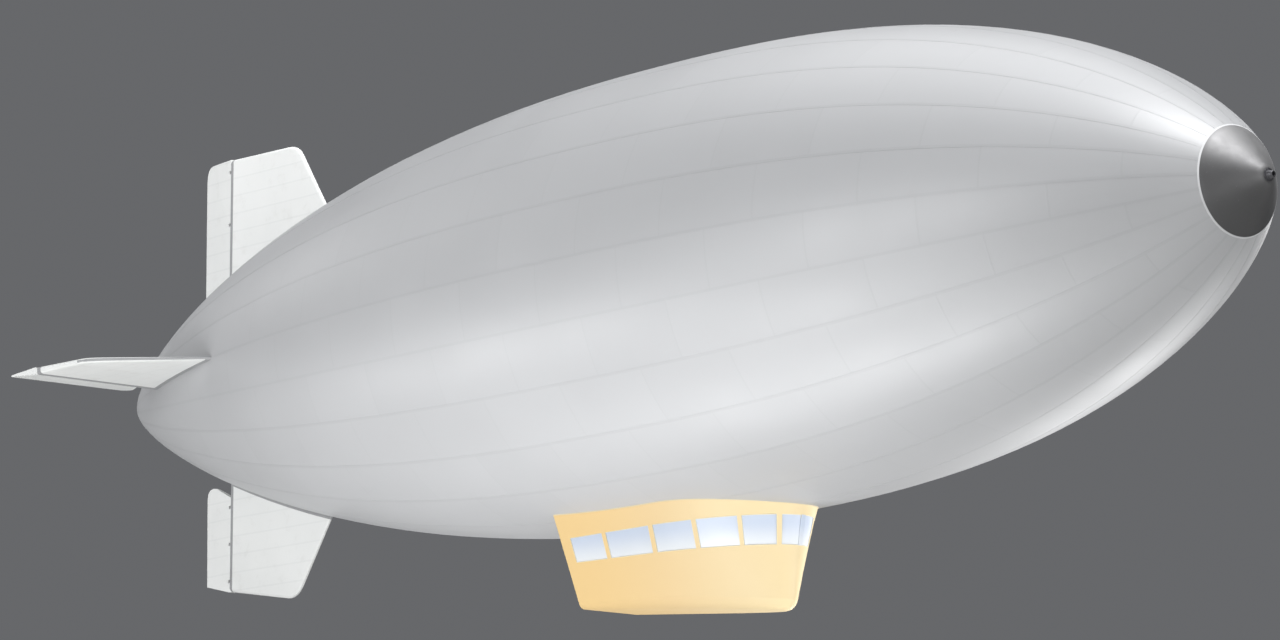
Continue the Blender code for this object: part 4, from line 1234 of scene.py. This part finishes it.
# Sets of pieces that a lamp can be flagged off, by the starts of their names
SETS = {
    "floor": ("floor",),
    "nose": ("nose_", "mooring_"),
    "fins": ("fin_", "rudder_", "elevator_"),
    "tailplane": ("fin_starboard", "fin_port", "elevator_"),
    "lower_fin": ("fin_bottom", "rudder_bottom"),
    "cabin": ("cabin_", "pane_", "gasket_", "bow_window_", "door_", "rear_wall_"),
    "hull": ("envelope_",),
}
ALL_BUT_HULL = ("floor", "nose", "fins", "cabin")
ALL_BUT_CABIN = ("floor", "nose", "fins", "hull")
ALL_BUT_FINS = ("floor", "nose", "cabin", "hull")

# Each lamp's name, place, aim, width, height, power in watts, and the sets that it is flagged off
LAMPS = (
    ("overhead", (0, 0, 75), (0, 0, 0), 120, 80, 48500, ()),
    ("bow_key", (45, -5, 62), (10, 0, 0), 34, 34, 53000, ("tailplane",)),
    ("starboard_fill", (-12, -90, 2), (-4, 0, 0), 50, 30, 31000, ("floor",)),
    ("bow_fill", (95, -30, -12), (6, 0, -3), 40, 16, 19500, ("floor",)),
    ("tail_fill", (-80, -20, 35), (0, 0, 0), 40, 30, 6400, ("floor",)),
    ("port_fill", (0, 90, 12), (0, 0, 0), 50, 30, 34000, ("floor", "nose")),
    ("starboard_low", (-1, -24, -15), (0, 0, -1), 18, 8, 2200, ALL_BUT_HULL),
    ("flank_low", (-38, -36, -13), (-2, 0, -1), 26, 10, 5000, ALL_BUT_HULL),
    ("port_low", (0, 24, -15), (0, 0, -1), 18, 8, 2500, ALL_BUT_HULL),
    ("keel_glow", (0, -9, -20.5), (0, 0, -5), 26, 10, 3900, ("floor", "nose", "lower_fin", "cabin")),
    ("cabin_starboard", (-2, -18, -17), (0.5, 0, -5.7), 10, 6, 3250, ALL_BUT_CABIN),
    ("cabin_ahead", (26, 6, -16), (3, 0, -5.7), 10, 6, 6000, ALL_BUT_CABIN),
    ("cabin_port", (-2, 18, -17), (0.5, 0, -5.7), 10, 6, 2950, ALL_BUT_CABIN),
    ("cabin_dome", (0.9, 0, -5.07), (0.9, 0, -7), 3, 0.4, 24, ()),
    ("fins_starboard", (10, -60, -4), (-16, 0, 0), 20, 20, 7800, ALL_BUT_FINS),
    ("fins_port", (10, 60, -4), (-16, 0, 0), 20, 20, 5000, ALL_BUT_FINS),
)


def flagged_off(name, sets):
    """The pieces that a lamp's light is kept off."""
    starts = tuple(start for group in sets for start in SETS[group])
    pieces = bpy.data.collections.new(name + "_flags")
    for piece in bpy.context.scene.objects:
        if piece.type == "MESH" and piece.name.startswith(starts):
            pieces.objects.link(piece)
    for entry in pieces.collection_objects:
        entry.light_linking.link_state = "EXCLUDE"
    return pieces


def build_lights():
    for name, place, aim, width, height, power, sets in LAMPS:
        lamp = bpy.data.lights.new(name, "AREA")
        lamp.shape = "RECTANGLE"
        lamp.size = width
        lamp.size_y = height
        lamp.energy = power
        box = placed(name, lamp)
        box.location = place
        box.rotation_euler = (Vector(aim) - Vector(place)).to_track_quat("-Z", "Y").to_euler()
        box.visible_camera = False
        if sets:
            box.light_linking.receiver_collection = flagged_off(name, sets)


def build_camera():
    azimuth = math.radians(CAMERA_AZIMUTH)
    elevation = math.radians(CAMERA_ELEVATION)
    level = math.cos(elevation)
    back = Vector((math.sin(azimuth) * level, -math.cos(azimuth) * level, math.sin(elevation)))
    lens = bpy.data.cameras.new("camera")
    lens.lens = CAMERA_LENS
    lens.sensor_width = CAMERA_SENSOR
    lens.clip_start, lens.clip_end = CAMERA_CLIPS
    camera = placed("camera", lens)
    camera.location = CAMERA_TARGET + back * CAMERA_DISTANCE
    camera.rotation_euler = (-back).to_track_quat("-Z", "Y").to_euler()
    bpy.context.scene.camera = camera


build_envelope()
build_nose()
build_fins()
build_guards()
build_cabin_walls()
build_windows()
build_cabin_trim()
build_seats()
build_console()
build_control_wheels()
build_stage()
build_lights()
build_camera()
